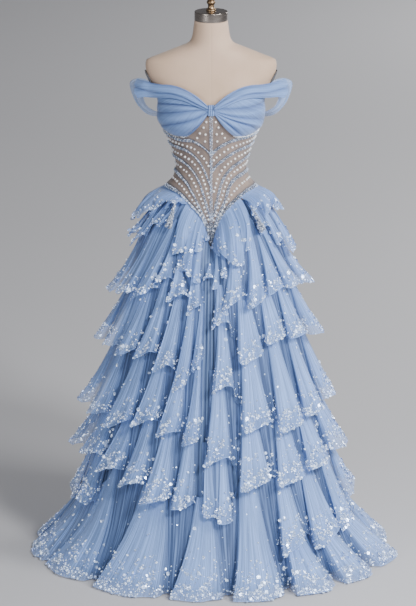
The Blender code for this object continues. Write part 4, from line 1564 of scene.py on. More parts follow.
@dataclass
class Sleeve:
    """A loose loop of tulle off the shoulder, open in the middle.

    Attributes:
        side: Its side.
        stations: Near edge x, y, z and far edge x, y, z along the loop.
        middle: The x and the height that the loop goes round.
        puff: How far its middle swells.
        ripple: How high its lengthwise folds stand.
    """

    side: Side
    stations: Rows = (
        (0.164, -0.034, 1.345, 0.17, -0.03, 1.374),
        (0.176, -0.042, 1.354, 0.186, -0.008, 1.379),
        (0.185, -0.044, 1.35, 0.208, 0.012, 1.378),
        (0.187, -0.042, 1.337, 0.229, 0.026, 1.364),
        (0.185, -0.039, 1.321, 0.227, 0.034, 1.338),
        (0.179, -0.037, 1.307, 0.213, 0.036, 1.307),
        (0.169, -0.035, 1.298, 0.195, 0.034, 1.282),
        (0.158, -0.033, 1.292, 0.174, 0.03, 1.267),
        (0.144, -0.03, 1.288, 0.146, 0.026, 1.262),
    )
    middle: tuple[float, float] = (0.165, 1.325)
    puff: float = 0.007
    ripple: float = 0.0022

    def build(self, look: Material) -> None:
        """Build the sleeve in its node's place.

        Args:
            look: Its material.
        """
        share = np.linspace(0.0, 1.0, 110)
        across = np.linspace(0.0, 1.0, 44)[:, None]
        near = smooth_line([row[:3] for row in self.stations], share) * self.side.flip
        far = smooth_line([row[3:] for row in self.stations], share) * self.side.flip
        spot = near + (far - near) * across[..., None]
        away = spot - np.stack((
            np.full(spot.shape[:2], self.side.value * self.middle[0]), spot[..., 1],
            np.full(spot.shape[:2], self.middle[1])), axis=-1)
        away = away / np.linalg.norm(away, axis=-1, keepdims=True)
        fade = np.sin(pi * share)
        wave = np.sin(5.0 * pi * across + 5.0 * share)
        fine = np.sin(13.0 * pi * across - 4.0 * share + 1.3)
        lift = self.puff * np.sin(pi * across) + self.ripple * wave
        lift = (lift + 0.0007 * fine) * fade
        points = spot + away * lift[..., None]
        # The "fold" value is painted light on the folds' crests and painted shade between
        # them.
        fold = 0.5 + 0.35 * wave + 0.15 * fine
        cloth = Cloth.laid(points, {"fold": fold}, turned=self.side is Side.RIGHT)
        sheet = Sheet(Held.DRAPED, f"cup_{self.side.word}_cloth")
        sheet.lay(f"sleeve_{self.side.word}", cloth, look)


@dataclass
class NeckBand:
    """The soft fold along the neckline, from the knot over the sleeve's top.

    Attributes:
        side: Its side.
        upper: Its upper edge's x, y and z from the knot outwards.
        lower: Its lower edge's.
        out: How far it lies off its edges' lines.
        swell: How far it stands off the cup in its middle.
        fold: How high its lengthwise folds stand.
    """

    side: Side
    upper: Rows = (
        (0.0085, -0.129, 1.329), (0.04, -0.113, 1.3535), (0.074, -0.0975, 1.3705),
        (0.105, -0.0845, 1.3775), (0.135, -0.0715, 1.377), (0.162, -0.053, 1.377),
        (0.184, -0.036, 1.38), (0.204, -0.006, 1.379),
    )
    lower: Rows = (
        (0.0085, -0.1344, 1.3165), (0.043, -0.126, 1.3275), (0.075, -0.113, 1.3387),
        (0.107, -0.097, 1.343), (0.136, -0.079, 1.34), (0.16, -0.062, 1.337),
        (0.183, -0.054, 1.337), (0.203, -0.048, 1.333),
    )
    out: float = 0.0035
    swell: float = 0.0080
    fold: float = 0.0050

    def build(self, look: Material) -> None:
        """Build the band with its folds.

        Args:
            look: Its material.
        """
        share = np.linspace(0.0, 1.0, 120)
        across = np.linspace(0.0, 1.0, 46)[:, None]
        upper = smooth_line(self.upper, share) * self.side.flip
        lower = smooth_line(self.lower, share) * self.side.flip
        spot = upper + (lower - upper) * across[..., None]
        away = spot * (1.0, 1.0, 0.0)
        away = away / np.linalg.norm(away, axis=-1, keepdims=True)
        bowed = np.sin(pi * across) * np.minimum(1.0, 0.35 + 2.0 * share)
        turn = 1.75 * across + 0.75 * share + 0.10 * np.sin(6.0 * share)
        wave = np.abs(np.cos(pi * turn)) ** 0.6
        fine = np.sin(2.0 * pi * (4.2 * across - 1.9 * share))
        edges = np.minimum(1.0, 9.0 * across * (1.0 - across))
        lift = self.out + self.swell * bowed + self.fold * (wave - 0.6) * edges
        lift = lift + 0.0005 * fine * edges
        points = spot + away * lift[..., None]
        # The "fold" value is painted light on the folds' crests and painted shade between
        # them.
        fold = 0.16 + 0.72 * wave + 0.06 * fine
        cloth = Cloth.laid(points, {"fold": fold}, turned=self.side is Side.LEFT)
        name = f"neck_band_{self.side.word}"
        sheet = Sheet(Held.DRAPED, f"cup_{self.side.word}_cloth")
        add_object(name, cloth.mesh(name), look)


def smooth_line(rows: Rows, share: Array) -> Array:
    """A smooth curve through points.

    Args:
        rows: The points.
        share: Shares of the way along.

    Returns:
        The curve's points.
    """
    points = np.array(rows)
    spans = len(points) - 1
    padded = np.vstack((2.0 * points[0] - points[1], points,
                        2.0 * points[-1] - points[-2]))
    reach = np.clip(share, 0.0, 1.0) * spans
    index = np.minimum(reach.astype(int), spans - 1)
    part = (reach - index)[..., None]
    before, here, after, beyond = (padded[index + step] for step in range(4))
    bend = (3.0 * here - before - 3.0 * after + beyond) * part ** 3
    curve = (2.0 * before - 5.0 * here + 4.0 * after - beyond) * part ** 2
    return 0.5 * (2.0 * here + (after - before) * part + curve + bend)


# ---------------- the skirt
FILL_STEP = 26.0             # degrees between the flutes that are filled in
FLUTE_WIDTH = 24.0           # degrees of a common flute
SHALLOW_ABOVE = -0.15        # the unevenness past which a valley is shallow
END_TRIM = 0.9               # degrees from a tucked frill's end to its edge valley
HEM_RISE = 0.010             # how much higher a valley's hem is than its folds'
SKEW = 3.6                   # degrees that a crest may lean to a side
PULL = 0.90                  # how much of the way a clasp draws a top together
PULL_WIDTH = 24.0            # over how many degrees it does
DRIFT = 0.45                 # degrees that gathers wander to a side
TILT = 0.018                 # one side of a flute's hem over the other
LOBE = 0.80                  # the share of a flute that its round front takes
GATHER_DEPTH = 0.0078        # the gathers' whole depth, for their shade
# Gathers to a common flute and how high they stand, the slowest first.
EDGE_GATHERS = ((1.6, 0.0030), (2.9, 0.0011), (4.7, 0.0004), (9.1, 0.0))
TIER_GATHERS = ((2.7, 0.0044), (4.9, 0.0009), (7.7, 0.0004), (11.9, 0.0002))


class Salt(Enum):
    """What a flute's fixed unevenness is drawn for."""

    SHALLOW = 7.7
    WIDTH = 2.9
    SKEW = 0.4
    TILT = 5.1


class Flute(NamedTuple):
    """One fold of a frill.

    Attributes:
        angle: The degrees of its crest.
        hem: The height of its hem.
        reach: How far it stands out.
    """

    angle: float
    hem: float
    reach: float


@dataclass(frozen=True)
class Frill:
    """A fluted frill from one angle to another.

    Attributes:
        name: The node that it stands for.
        start: The first end's angle in degrees.
        end: The last end's angle.
        flutes: Its folds from the first end.
        far_flutes: The folds up to its last end; those between are filled in.
        tops: Its upper edge, where it has its own.
        above: The frill whose hem it is tucked under, where it has none.
        closed: Whether it goes all the way round.
        at_edge: Whether it starts inside the bodice's edge.
        power: How late its crests swell on the way down.
        valley: How far its valleys stand off the underskirt.
        lean: How many degrees each end's folds drift on the way down.
        columns: Points to a fold.
        rows: Rows from its top to its hem.
        focus: Angles where its top is drawn together, under a clasp.
        puff: How far one that starts at the bodice's edge swells out.
        band: How far up its sequins reach.
        sparkle: Sequins to a square metre at its hem.
        shallow: How far every other valley or so stands out with its folds.
    """

    name: str
    start: float
    end: float
    flutes: Rows
    far_flutes: Rows = ()
    tops: Rows = ()
    above: "Frill | None" = None
    closed: bool = False
    at_edge: bool = False
    power: float = 1.5
    valley: float = 0.014
    lean: tuple[float, float] = (0.0, 0.0)
    columns: int = 60
    rows: int = 24
    focus: tuple[float, ...] = ()
    puff: float = 0.013
    band: float = 0.085
    sparkle: float = 58000.0
    shallow: float = 0.58

    def folds(self) -> list[Flute]:
        """The frill's folds from end to end, the unlisted ones filled in.

        Returns:
            The folds, their angles rising.
        """
        flutes = [Flute(*row) for row in self.flutes]
        if not self.far_flutes:
            return flutes
        far = [Flute(*row) for row in self.far_flutes]
        begin, finish = flutes[-1], far[0]
        span = finish.angle - begin.angle
        count = max(1, round(span / FILL_STEP)) - 1
        salt = len(self.name) + self.start
        wander = 0.0 if self.closed else 0.010
        for index in range(count):
            share = (index + 1) / (count + 1)
            angle = begin.angle + span * share + 1.6 * jitter(index, salt + 2.0)
            hem = begin.hem + (finish.hem - begin.hem) * share
            hem += wander * jitter(index, salt)
            reach = begin.reach + (finish.reach - begin.reach) * share
            reach *= 1.0 + 0.10 * jitter(index, salt + 1.0)
            flutes.append(Flute(angle, hem, reach))
        return flutes + far

    def uneven(self, index: Array, salt: Salt) -> Array:
        """The fixed unevenness of its flutes, from -1 to 1."""
        return jitter(index, len(self.name) + salt.value)

    def hem_line(self, degrees: Array) -> Array:
        """The height of the hem, without its waves.

        Args:
            degrees: Angles from the front.

        Returns:
            The heights.
        """
        table = SmoothTable(tuple((fold.angle, fold.hem) for fold in self.folds()))
        middle = (self.start + self.end) / 2.0
        return table.read(degrees - 360.0 * np.round((degrees - middle) / 360.0))

    @property
    def narrow(self) -> float:
        """Its flutes' mean width, as a share of a common flute's."""
        return (self.end - self.start) / len(self.folds()) / FLUTE_WIDTH

    def top(self, degrees: Array) -> Array:
        """Where the frill starts: at the bodice's edge, or tucked.

        Args:
            degrees: Angles from the front.

        Returns:
            The heights of its upper edge.
        """
        edge = Figure.basque(degrees)
        if self.at_edge:
            return edge - EDGE_DROP
        if self.tops:
            around = degrees + 360.0 * (degrees < self.tops[0][0] - 15.0)
            return SmoothTable(self.tops).read(around)
        return np.minimum(self.above.hem_line(degrees) + TUCK, edge - 2.0 * TUCK_UNDER)

    def valleys(self, folds: Array) -> Array:
        """The valleys between the folds and at the frill's two ends.

        Args:
            folds: The folds' angles, hems and reaches.

        Returns:
            Each valley's angle, hem, reach and share of a fold's light.
        """
        between = (folds[:-1] + folds[1:]) / 2.0
        pick = self.uneven(np.arange(len(between)), Salt.SHALLOW) > SHALLOW_ABOVE
        shallow = np.where(pick, self.shallow, 0.0)
        between = np.column_stack((between, shallow))
        between[:, 2] *= shallow
        trim = END_TRIM if self.above else 0.0
        first = (self.start + trim, folds[0, 1], 0.0, 0.0)
        last = (self.end - trim, folds[-1, 1], 0.0, 0.0)
        return np.vstack((first, between, last))

    def drawn(self, degrees: Array, fall: Array) -> Array:
        """Draw the frill's top together under each clasp.

        Args:
            degrees: The columns' angles.
            fall: Shares of the way down.

        Returns:
            The drawn angles.
        """
        for point in self.focus:
            off = (degrees - point + 180.0) % 360.0 - 180.0
            pull = PULL * np.exp(-(off / PULL_WIDTH) ** 2) * (1.0 - fall) ** 1.15
            degrees = degrees - off * pull
        return degrees

    def surface(self) -> Cloth:
        """Work out the frill's cloth: its flutes, their gathers and its hem.

        Returns:
            The grid, with the painted light and shade of its folds and where its sequins
            go.
        """
        folds = np.array(self.folds())
        count = len(folds)
        valleys = self.valleys(folds)
        turn = np.tile(np.linspace(-1.0, 1.0, self.columns, endpoint=False), count)
        cell = np.repeat(np.arange(count), self.columns)
        if not self.closed:
            turn, cell = np.append(turn, 1.0), np.append(cell, count - 1)
        side = np.where((turn < 0.0)[:, None], valleys[cell], valleys[cell + 1])
        down = self.drops()
        fall = np.maximum(down, 0.0)
        aside, crest = self.cone(turn, fall, self.uneven(cell, Salt.WIDTH))
        degrees = folds[cell, 0] + aside * (side[:, 0] - folds[cell, 0])
        share = (degrees - self.start) / (self.end - self.start)
        lean = self.lean[0] + (self.lean[1] - self.lean[0]) * share
        skew = SKEW * self.uneven(cell, Salt.SKEW)
        degrees = self.drawn(degrees + (lean + skew * crest * fall) * fall, fall)
        gather, flow = self.gathers(cell + 0.5 * turn, fall)
        degrees = degrees + DRIFT * flow * fall * (1.0 if self.above else 0.6)
        rise = 0.0 if self.closed else HEM_RISE
        hem = side[:, 1] + rise + (folds[cell, 1] - side[:, 1] - rise) * crest
        top = self.top(degrees)
        height = top + (hem - top) * fall
        if not self.closed:
            tilt = TILT * self.narrow * self.uneven(cell, Salt.TILT)
            tilt = tilt * np.sin(pi * turn)
            height = height + (tilt + 0.45 * gather + 0.0012 * flow) * fall ** 3
        started = 0.0 if self.at_edge else TOP_OUT
        growth = fall ** 0.6 if self.at_edge else fall
        out = started + (self.valley - started) * growth
        swelled = fall ** (2.2 if self.at_edge else self.power)
        out = out + (side[:, 2] + (folds[cell, 2] - side[:, 2]) * crest) * swelled
        if self.at_edge:
            out = out + self.puff * np.sin(pi * fall ** 0.75)
        out = out + gather * np.clip(fall * 6.0 + 0.25, 0.0, 1.0)
        height = np.where(down < 0.0, top + TUCK_UNDER, height)
        out = np.where(down < 0.0, 0.0, out)
        radius = Figure.hull(degrees, height) + out
        cloth = Cloth.laid(place(np.radians(degrees), radius, height),
                           closed=self.closed)
        # The "fold" value is painted light and shade: crests lighter, valleys, tops and
        # sunk gathers darker.
        lit = np.maximum(crest ** 1.3, 0.80 * side[:, 3])
        shade = lit * (0.62 + 0.38 * fall) + 0.05
        if self.at_edge:
            shade = 0.66 + 0.30 * crest * fall
        shade = 0.88 * shade + 0.13 * (0.5 + gather / GATHER_DEPTH)
        cloth.values["fold"] = np.clip(shade, 0.0, 1.0)
        cloth.values["sequin"] = self.sparkles(cloth, crest)
        return cloth

    @staticmethod
    def cone(turn: Array, fall: Array, odd: Array) -> tuple[Array, Array]:
        """A flute's round front and the flat valley beside it.

        Args:
            turn: Where a column is in its flute, from -1 to 1.
            fall: Shares of the way down.
            odd: Each flute's own unevenness.

        Returns:
            The share of the way to the valley's middle, and the crest's share.
        """
        wide = 0.34 + (0.48 + 0.08 * odd) * fall ** 0.75
        on = np.minimum(np.abs(turn) / LOBE, 1.0)
        past = np.clip((np.abs(turn) - LOBE) / (1.0 - LOBE), 0.0, 1.0)
        bow = np.sin(0.5 * pi * on) + 0.17 * np.sin(pi * on) * fall
        aside = wide * bow + (1.0 - wide) * past
        crest = (1.0 - on ** 3) ** 0.85
        return aside, crest * (1.0 - 0.25 * past)

    def sparkles(self, cloth: Cloth, crest: Array) -> Array:
        """How thickly sequins lie: in clusters, thickest at the hem.

        Args:
            cloth: The frill's grid.
            crest: Each point's share of its flute's crest.

        Returns:
            A share for each point.
        """
        u, v = cloth.across, cloth.up
        patch = np.sin(61.0 * u + 40.0 * v) * np.sin(97.0 * v - 33.0 * u + 1.3)
        patch = patch + 0.6 * np.sin(143.0 * u + 0.7) * np.sin(171.0 * v + 29.0 * u)
        near = np.clip(1.0 - v / self.band, 0.0, 1.0)
        thick = near ** 1.4 * np.clip(0.55 + 0.85 * patch, 0.04, 1.6)
        stray = 0.035 * (v < 3.2 * self.band) * np.clip(0.5 + patch, 0.0, 1.5)
        return (thick + stray) * (0.30 + 0.80 * crest * crest)

    def drops(self) -> Array:
        """Shares of the way down, closer towards the hem.

        Returns:
            A column of shares; -1 is the row tucked inside the bodice.
        """
        even = np.linspace(0.0, 1.0, self.rows)
        down = 0.6 * even + 0.4 * (1.0 - (1.0 - even) ** 2)
        if self.at_edge:
            down = np.insert(down, 0, -1.0)
        return down[:, None]

    def gathers(self, along_hem: Array, fall: Array) -> tuple[Array, Array]:
        """Fine gathers, tight at the top and looser towards the hem.

        Args:
            along_hem: Where a column is, counted in flutes.
            fall: Shares of the way down.

        Returns:
            How far the cloth stands off, and how far it drifts sideways.
        """
        table = np.array(EDGE_GATHERS if self.at_edge else TIER_GATHERS)
        rates, sizes = table[:, 0] * self.narrow, table[:, 1]
        salt = len(self.name) + self.start
        if self.closed:
            rates, salt = np.round(rates), 0.0
        turn = 2.0 * pi * along_hem
        waves = [np.sin(rate * turn + 1.7 * salt * rate + drift * fall)
                 for rate, drift in zip(rates, (0.9, -1.6, 2.3, -1.1))]
        flow = waves[0] + 0.5 * waves[1]
        low, middle, high, fine = (size * wave for size, wave in zip(sizes, waves))
        if self.at_edge:
            swell = 0.5 + np.exp(-((fall - 0.45) / 0.35) ** 2)
            return (low + middle) * swell + high, flow
        gather = low * fall ** 2 + middle * (0.35 + 0.65 * fall)
        return gather + high * (1.0 - 0.3 * fall) + fine, flow

    def build(self, look: Material, foil: Material) -> None:
        """Build the frill and its sequins in its node's place.

        Args:
            look: The tulle's material.
            foil: The sequins' material.
        """
        cloth = self.surface()
        mesh = cloth.mesh(self.name)
        scatter = Scatter(Trim.SEQUIN, foil, radius=SEQUIN_RADIUS, density=self.sparkle,
                          seed=len(self.name) + int(abs(self.start)))
        trims = scatter.grown(mesh.copy())
        made = add_object(f"{self.name}_cloth", mesh, look)
        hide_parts(self.name)
        sequins = add_object(f"{self.name}_sequins", trims, foil)


SWAG_LEFT = Frill(
    "front_swag_left", -38.4, -2.0,
    ((-31, 0.915, 0.014), (-21, 0.898, 0.02), (-12, 0.925, 0.018), (-5, 0.945, 0.014)),
    at_edge=True, power=0.9, valley=0.016, lean=(7.0, -0.4), band=0.05,
)
SWAG_RIGHT = Frill(
    "front_swag_right", 1.0, 47.2,
    ((5, 0.914, 0.008), (12.5, 0.912, 0.015), (21, 0.893, 0.02), (30, 0.887, 0.018),
     (42, 0.925, 0.019)),
    at_edge=True, power=0.9, valley=0.016, lean=(-2.2, -11.0), band=0.05,
)
SWAG_TAIL_LEFT = Frill(
    "swag_tail_left", -29.0, -8.0,
    ((-25, 0.872, 0.006), (-18, 0.86, 0.01), (-11, 0.842, 0.012)),
    tops=((-30, 0.935), (-8, 0.938)), power=1.6, valley=0.019, band=0.05,
)
SWAG_TAIL_RIGHT = Frill(
    "swag_tail_right", -4.0, 13.0,
    ((-1, 0.85, 0.01), (5, 0.826, 0.012), (11, 0.852, 0.008)),
    tops=((-5, 0.888), (0, 0.884), (6, 0.915), (14, 0.93)),
    power=1.6, valley=0.019, band=0.05,
)
HIP_DRAPE_LEFT = Frill(
    "hip_drape_left", -179.7, -36.6,
    ((-162, 0.985, 0.02), (-136, 0.975, 0.026), (-112, 0.97, 0.028), (-89, 0.968, 0.027),
     (-73, 0.995, 0.02), (-60, 1.018, 0.013), (-47, 1.04, 0.008)),
    at_edge=True, power=0.9, valley=0.019, band=0.05, puff=0.024,
)
HIP_DRAPE_RIGHT = Frill(
    "hip_drape_right", 47.0, 179.7,
    ((55, 1.022, 0.006), (69, 1.012, 0.008), (86, 1.008, 0.01), (106, 0.985, 0.02),
     (134, 0.972, 0.026), (162, 0.985, 0.02)),
    at_edge=True, power=0.9, valley=0.018, band=0.05, puff=0.022,
)
HIP_FRILL_LEFT = Frill(
    "hip_frill_left", -179.7, -40.0,
    ((-166, 0.925, 0.022), (-142, 0.912, 0.026), (-120, 0.912, 0.026), (-101, 0.918, 0.022),
     (-85, 0.93, 0.023), (-72, 0.915, 0.021), (-60, 0.962, 0.012), (-48, 0.985, 0.006)),
    above=HIP_DRAPE_LEFT, power=2.0, valley=0.017, band=0.055,
)
HIP_FRILL_RIGHT = Frill(
    "hip_frill_right", 49.0, 179.7,
    ((56, 0.968, 0.006), (66, 0.925, 0.012), (79, 0.888, 0.02), (95, 0.89, 0.022),
     (116, 0.905, 0.024), (139, 0.912, 0.024), (164, 0.922, 0.022)),
    above=HIP_DRAPE_RIGHT, power=2.0, valley=0.017, band=0.055,
)
TIER_1 = Frill(
    "tier_1", 9.0, 355.0,
    ((16.5, 0.785, 0.034), (33, 0.78, 0.036), (49, 0.808, 0.032), (66, 0.808, 0.036),
     (86, 0.792, 0.056), (110, 0.785, 0.042)),
    ((250, 0.78, 0.042), (275, 0.768, 0.05), (293, 0.782, 0.04), (311, 0.786, 0.04),
     (325, 0.838, 0.024), (339, 0.8, 0.04), (351, 0.768, 0.026)),
    tops=((9, 0.888), (14, 0.89), (19, 0.925), (30, 0.935), (36, 0.985), (46, 0.995),
          (55, 0.99), (66, 0.955), (80, 0.925), (95, 0.925), (130, 0.945), (180, 0.955),
          (260, 0.95), (290, 0.955), (300, 0.99), (315, 1.0), (323, 0.985), (331, 0.92),
          (337, 0.89), (355, 0.882)),
    power=1.8, focus=(48.5, 321.0),
)
TIER_2 = Frill(
    "tier_2", 1.5, 356.0,
    ((6, 0.728, 0.024), (25, 0.632, 0.04), (43.5, 0.676, 0.034), (60, 0.672, 0.038),
     (80, 0.652, 0.056), (105, 0.64, 0.04)),
    ((247, 0.636, 0.04), (272, 0.628, 0.056), (290, 0.628, 0.044), (307, 0.622, 0.042),
     (322, 0.632, 0.042), (335, 0.606, 0.04), (346, 0.556, 0.038), (353.5, 0.618, 0.022)),
    above=TIER_1,
)
TIER_3 = Frill(
    "tier_3", 1.5, 356.0,
    ((7, 0.556, 0.026), (24, 0.448, 0.042), (44, 0.436, 0.044), (61, 0.455, 0.042),
     (80, 0.47, 0.048), (105, 0.455, 0.038)),
    ((249, 0.448, 0.038), (274, 0.44, 0.062), (292, 0.432, 0.046), (311, 0.424, 0.044),
     (328, 0.45, 0.036), (341, 0.432, 0.042), (352.5, 0.408, 0.03)),
    above=TIER_2, band=0.1,
)
TIER_4 = Frill(
    "tier_4", -3.5, 354.0,
    ((4, 0.36, 0.03), (21, 0.29, 0.044), (40, 0.29, 0.04), (57, 0.31, 0.044),
     (75, 0.33, 0.056), (102, 0.322, 0.036)),
    ((249, 0.318, 0.036), (274, 0.312, 0.06), (292, 0.316, 0.04), (311, 0.298, 0.042),
     (325, 0.276, 0.036), (337, 0.242, 0.046), (349.5, 0.232, 0.03)),
    above=TIER_3, band=0.11,
)
TIER_5_FRONT = Frill(
    "tier_5_front", -5.5, 11.0,
    ((-2, 0.212, 0.018), (6, 0.195, 0.026)),
    above=TIER_4, valley=0.018,
)
TIER_5 = Frill(
    "tier_5", 27.0, 301.0,
    ((35, 0.112, 0.042), (52, 0.11, 0.044), (69, 0.122, 0.034), (87, 0.18, 0.034)),
    ((275, 0.17, 0.022), (291, 0.178, 0.022)),
    above=TIER_4, valley=0.018, band=0.115,
)
TIER_6 = Frill(
    "tier_6", -13.0, 347.0,
    ((-3.5, 0.005, 0.052), (17.5, 0.005, 0.066), (37.5, 0.005, 0.074), (55, 0.005, 0.078),
     (74, 0.005, 0.086), (98, 0.005, 0.058)),
    ((256, 0.005, 0.054), (280, 0.005, 0.062), (302, 0.005, 0.056), (333, 0.005, 0.06)),
    closed=True, power=1.6, band=0.135, sparkle=52000.0,
    tops=((-14, 0.275), (-6, 0.255), (9, 0.25), (17, 0.325), (26, 0.325), (36, 0.16),
          (52, 0.155), (69, 0.168), (87, 0.222), (110, 0.215), (180, 0.21), (275, 0.213),
          (291, 0.222), (301, 0.25), (309, 0.335), (325, 0.318), (337, 0.288),
          (346, 0.275)),
)
FRILLS = (
    SWAG_LEFT, SWAG_RIGHT, SWAG_TAIL_LEFT, SWAG_TAIL_RIGHT, HIP_DRAPE_LEFT,
    HIP_DRAPE_RIGHT, HIP_FRILL_LEFT, HIP_FRILL_RIGHT, TIER_1, TIER_2, TIER_3,
    TIER_4, TIER_5_FRONT, TIER_5, TIER_6,
)


@dataclass
class Underskirt:
    """The darker pleated underskirt that the frills are sewn to.

    Attributes:
        pleats: Pleats all round.
        steps: Columns to a pleat.
        drop: How far it starts under the bodice's edge.
        foot: The height of its hem.
        depth: How deep its pleats are.
        inset: How far it lies inside the hull.
        rows: Rows from its top to its hem.
        opening: How far down its pleats reach their full depth.
    """

    pleats: int = 120
    steps: int = 5
    drop: float = 0.013
    foot: float = 0.012
    depth: float = 0.0055
    inset: float = 0.0008
    rows: int = 40
    opening: float = 0.2

    def build(self, look: Material) -> None:
        """Build the underskirt in its node's place.

        Args:
            look: Its material.
        """
        count = self.pleats * self.steps
        degrees = np.linspace(0.0, 360.0, count, endpoint=False)
        top = Figure.basque(degrees) - self.drop
        down = np.linspace(0.0, 1.0, self.rows)[:, None] ** 1.15
        height = top + (self.foot - top) * down
        turn = np.radians(degrees) * self.pleats
        wander = np.sin(np.radians(degrees) * 7.0) + np.sin(np.radians(degrees) * 19.0)
        fold = 0.5 + 0.5 * np.sin(turn + 0.8 * wander + 1.5 * down)
        opened = np.minimum(1.0, (top - height) / self.opening)
        radius = Figure.hull(degrees, height) - self.inset
        radius = radius - self.depth * (1.0 - fold ** 0.8) * opened
        # The pleats' "fold" value is also painted light on their crests and painted shade
        # in their valleys.
        cloth = Cloth.laid(place(np.radians(degrees), radius, height),
                           {"fold": fold}, closed=True)
        sheet = Sheet(Held.GATHERED, "bodice_back_left_cloth", "underskirt_blue")
        sheet.lay("underskirt", cloth, look)


@dataclass
class HipClasp:
    """A hanging cluster of beads at the hip, wider at its foot.

    Attributes:
        node: The node that it stands for.
        degrees: The angle of its foot from the front.
        high: The height of its top.
        low: The height of its foot.
        lean: How many degrees its top lies farther round.
        beads: How many beads it has.
        seed: The cluster's fixed seed.
        outs: How far its top and its foot hang off the underskirt.
        sizes: The beads' least and greatest radius.
        profile: Share of the way up, and the cluster's radius there.
    """

    node: str
    degrees: float
    high: float
    low: float
    lean: float
    beads: int = 150
    seed: int = 5
    outs: tuple[float, float] = (0.0245, 0.0360)
    sizes: tuple[float, float] = (0.0016, 0.0036)
    profile: SmoothTable = SmoothTable((
        (0.0, 0.0035), (0.04, 0.0085), (0.1, 0.0092), (0.16, 0.006),
        (0.24, 0.0078), (0.33, 0.005), (0.43, 0.0062), (0.54, 0.0038),
        (0.66, 0.0048), (0.79, 0.0028), (0.93, 0.0034), (1.0, 0.0014),
    ))

    def build(self, look: Material) -> None:
        """String the cluster in its node's place.

        Args:
            look: Its material.
        """
        rng = np.random.default_rng(self.seed)
        angle = np.radians(np.array((self.degrees + self.lean, self.degrees)))
        height = np.array((self.high, self.low))
        radius = Figure.hull(np.degrees(angle), height) + np.array(self.outs)
        top, foot = place(angle, radius, height)
        share = rng.beta(1.1, 1.25, self.beads)
        turn = rng.uniform(0.0, 2.0 * pi, self.beads)
        axis = (top - foot) / np.linalg.norm(top - foot)
        aside = np.cross(axis, (0.0, 0.0, 1.0))
        aside = aside / np.linalg.norm(aside)
        forth = np.cross(axis, aside)
        wide = self.profile.read(share)[:, None]
        ring = aside * np.cos(turn)[:, None] + forth * np.sin(turn)[:, None]
        points = foot + (top - foot) * share[:, None] + ring * wide * 0.85
        sizes = rng.uniform(*self.sizes, self.beads) * (1.15 - 0.45 * share)
        scatter = Scatter(Trim.BEAD, look, rounds=2)
        mesh = scatter.grown(spot_mesh(points, sizes))
        made = add_object(f"{self.node}_beads", mesh, look)
        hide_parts(self.node)


@dataclass
class Skirt:
    """The underskirt, the frills over it and the clasps at the hips.

    Attributes:
        clasps: The hips' clusters of beads.
    """

    clasps: tuple[HipClasp, ...] = (
        HipClasp("hip_clasp_left", -40.5, 1.044, 0.982, -5.5),
        HipClasp("hip_clasp_right", 48.0, 1.030, 0.970, 1.0, seed=6),
    )

    def build(self) -> None:
        """Build the underskirt, each frill and the clasps."""
        Underskirt().build(UNDER_TULLE.material())
        tulle, soft = TULLE.material(), DRAPE_TULLE.material()
        foil = SEQUIN.material()
        for frill in FRILLS:
            frill.build(soft if frill.at_edge else tulle, foil)
        silver = CLASP_BEAD.material()
        for clasp in self.clasps:
            clasp.build(silver)


# ---------------- the studio
def facing(spot: Spot, aim: Spot) -> Euler:
    """How a lamp or a camera turns to face a point."""
    return (Vector(aim) - Vector(spot)).to_track_quat("-Z", "Y").to_euler()


@dataclass(frozen=True)
class Lamp:
    """A soft area light, aimed at the gown or at the floor beside it.

    Attributes:
        name: Its name.
        spot: Where it is.
        size: How wide it is.
        watts: Its power.
        aim: The point that it faces.
    """

    name: str
    spot: Spot
    size: float
    watts: float
    aim: Spot = (0.0, 0.0, 0.8)

    def build(self) -> None:
        """Add the light."""
        lamp = bpy.data.lights.new(self.name, "AREA")
        lamp.shape = "DISK"
        lamp.size = self.size
        lamp.energy = self.watts
        made = add_plain(self.name, lamp)
        made.location = self.spot
        made.rotation_euler = facing(self.spot, self.aim)


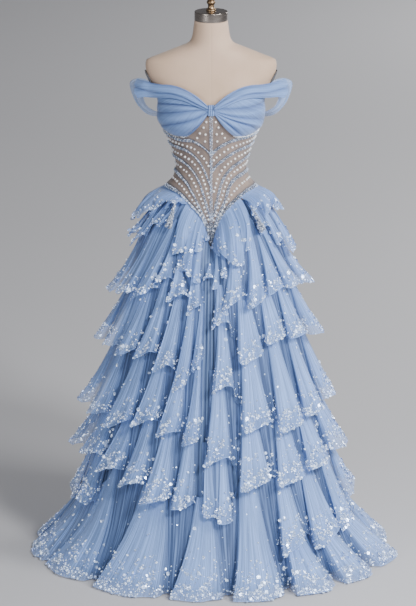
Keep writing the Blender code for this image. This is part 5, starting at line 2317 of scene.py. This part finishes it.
@dataclass
class Studio:
    """The plain floor, the soft light, the grey world and the camera.

    Attributes:
        eye: Where the camera is.
        aim: The point that it faces.
        lens: Its focal length in millimetres.
        sensor: Its sensor's height in millimetres.
        reach: How far it sees.
        floor_size: Half the width of the floor.
        world_colour: The world's even light.
        lamps: The area lights.
    """

    eye: Spot = (-0.0086, -11.0818, 3.7972)
    aim: Spot = (-0.0086, 0.0, 0.724)
    lens: float = 239.7
    sensor: float = 36.0
    reach: float = 100.0
    floor_size: float = 30.0
    world_colour: Colour = (0.16, 0.16, 0.17)
    lamps: tuple[Lamp, ...] = (
        Lamp("key", (2.9, -5.2, 4.6), 1.4, 450.0),
        Lamp("fill", (-4.4, -6.0, 2.4), 3.0, 165.0),
        Lamp("side", (3.4, 3.2, 2.4), 1.6, 105.0, (0.4, 3.0, 0.0)),
        Lamp("far", (3.4, 7.6, 2.4), 1.6, 135.0, (0.4, 7.4, 0.0)),
        Lamp("low", (2.6, -1.6, 2.6), 1.2, 110.0, (0.9, -0.6, 0.0)),
    )

    def build(self) -> None:
        """Set the camera, the lights, the world and the floor."""
        camera = bpy.data.cameras.new("camera")
        camera.sensor_fit = "VERTICAL"
        camera.sensor_height = self.sensor
        camera.lens = self.lens
        camera.clip_end = self.reach
        viewer = add_plain("camera", camera)
        viewer.location = self.eye
        viewer.rotation_euler = facing(self.eye, self.aim)
        bpy.context.scene.camera = viewer
        for lamp in self.lamps:
            lamp.build()
        world = bpy.data.worlds.new("studio")
        world.use_nodes = True
        light = world.node_tree.nodes["Background"].inputs["Color"]
        light.default_value = (*self.world_colour, 1.0)
        bpy.context.scene.world = world
        self.build_floor()

    def build_floor(self) -> None:
        """Lay the plain floor under the gown and far behind it."""
        ends = ((-1, -1), (1, -1), (1, 1), (-1, 1))
        corners = [(x * self.floor_size, y * self.floor_size, 0.0) for x, y in ends]
        mesh = bpy.data.meshes.new("floor")
        mesh.from_pydata(corners, [], [(0, 1, 2, 3)])
        mesh.materials.append(FLOOR.material())
        add_plain("floor", mesh)


def main() -> None:
    """Build the studio, the form, the bodice and the skirt in order."""
    logging.basicConfig(level=logging.INFO, format="%(message)s", stream=sys.stdout)
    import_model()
    Studio().build()
    DressForm().build()
    Bodice().build()
    cup_look = CUP_TULLE.material()
    for side in Side:
        Cup(side).build(cup_look)
    Knot().build(cup_look)
    sleeve_look = SLEEVE_TULLE.material()
    for side in Side:
        Sleeve(side).build(sleeve_look)
        NeckBand(side).build(cup_look)
    Skirt().build()


if __name__ == "__main__":
    main()
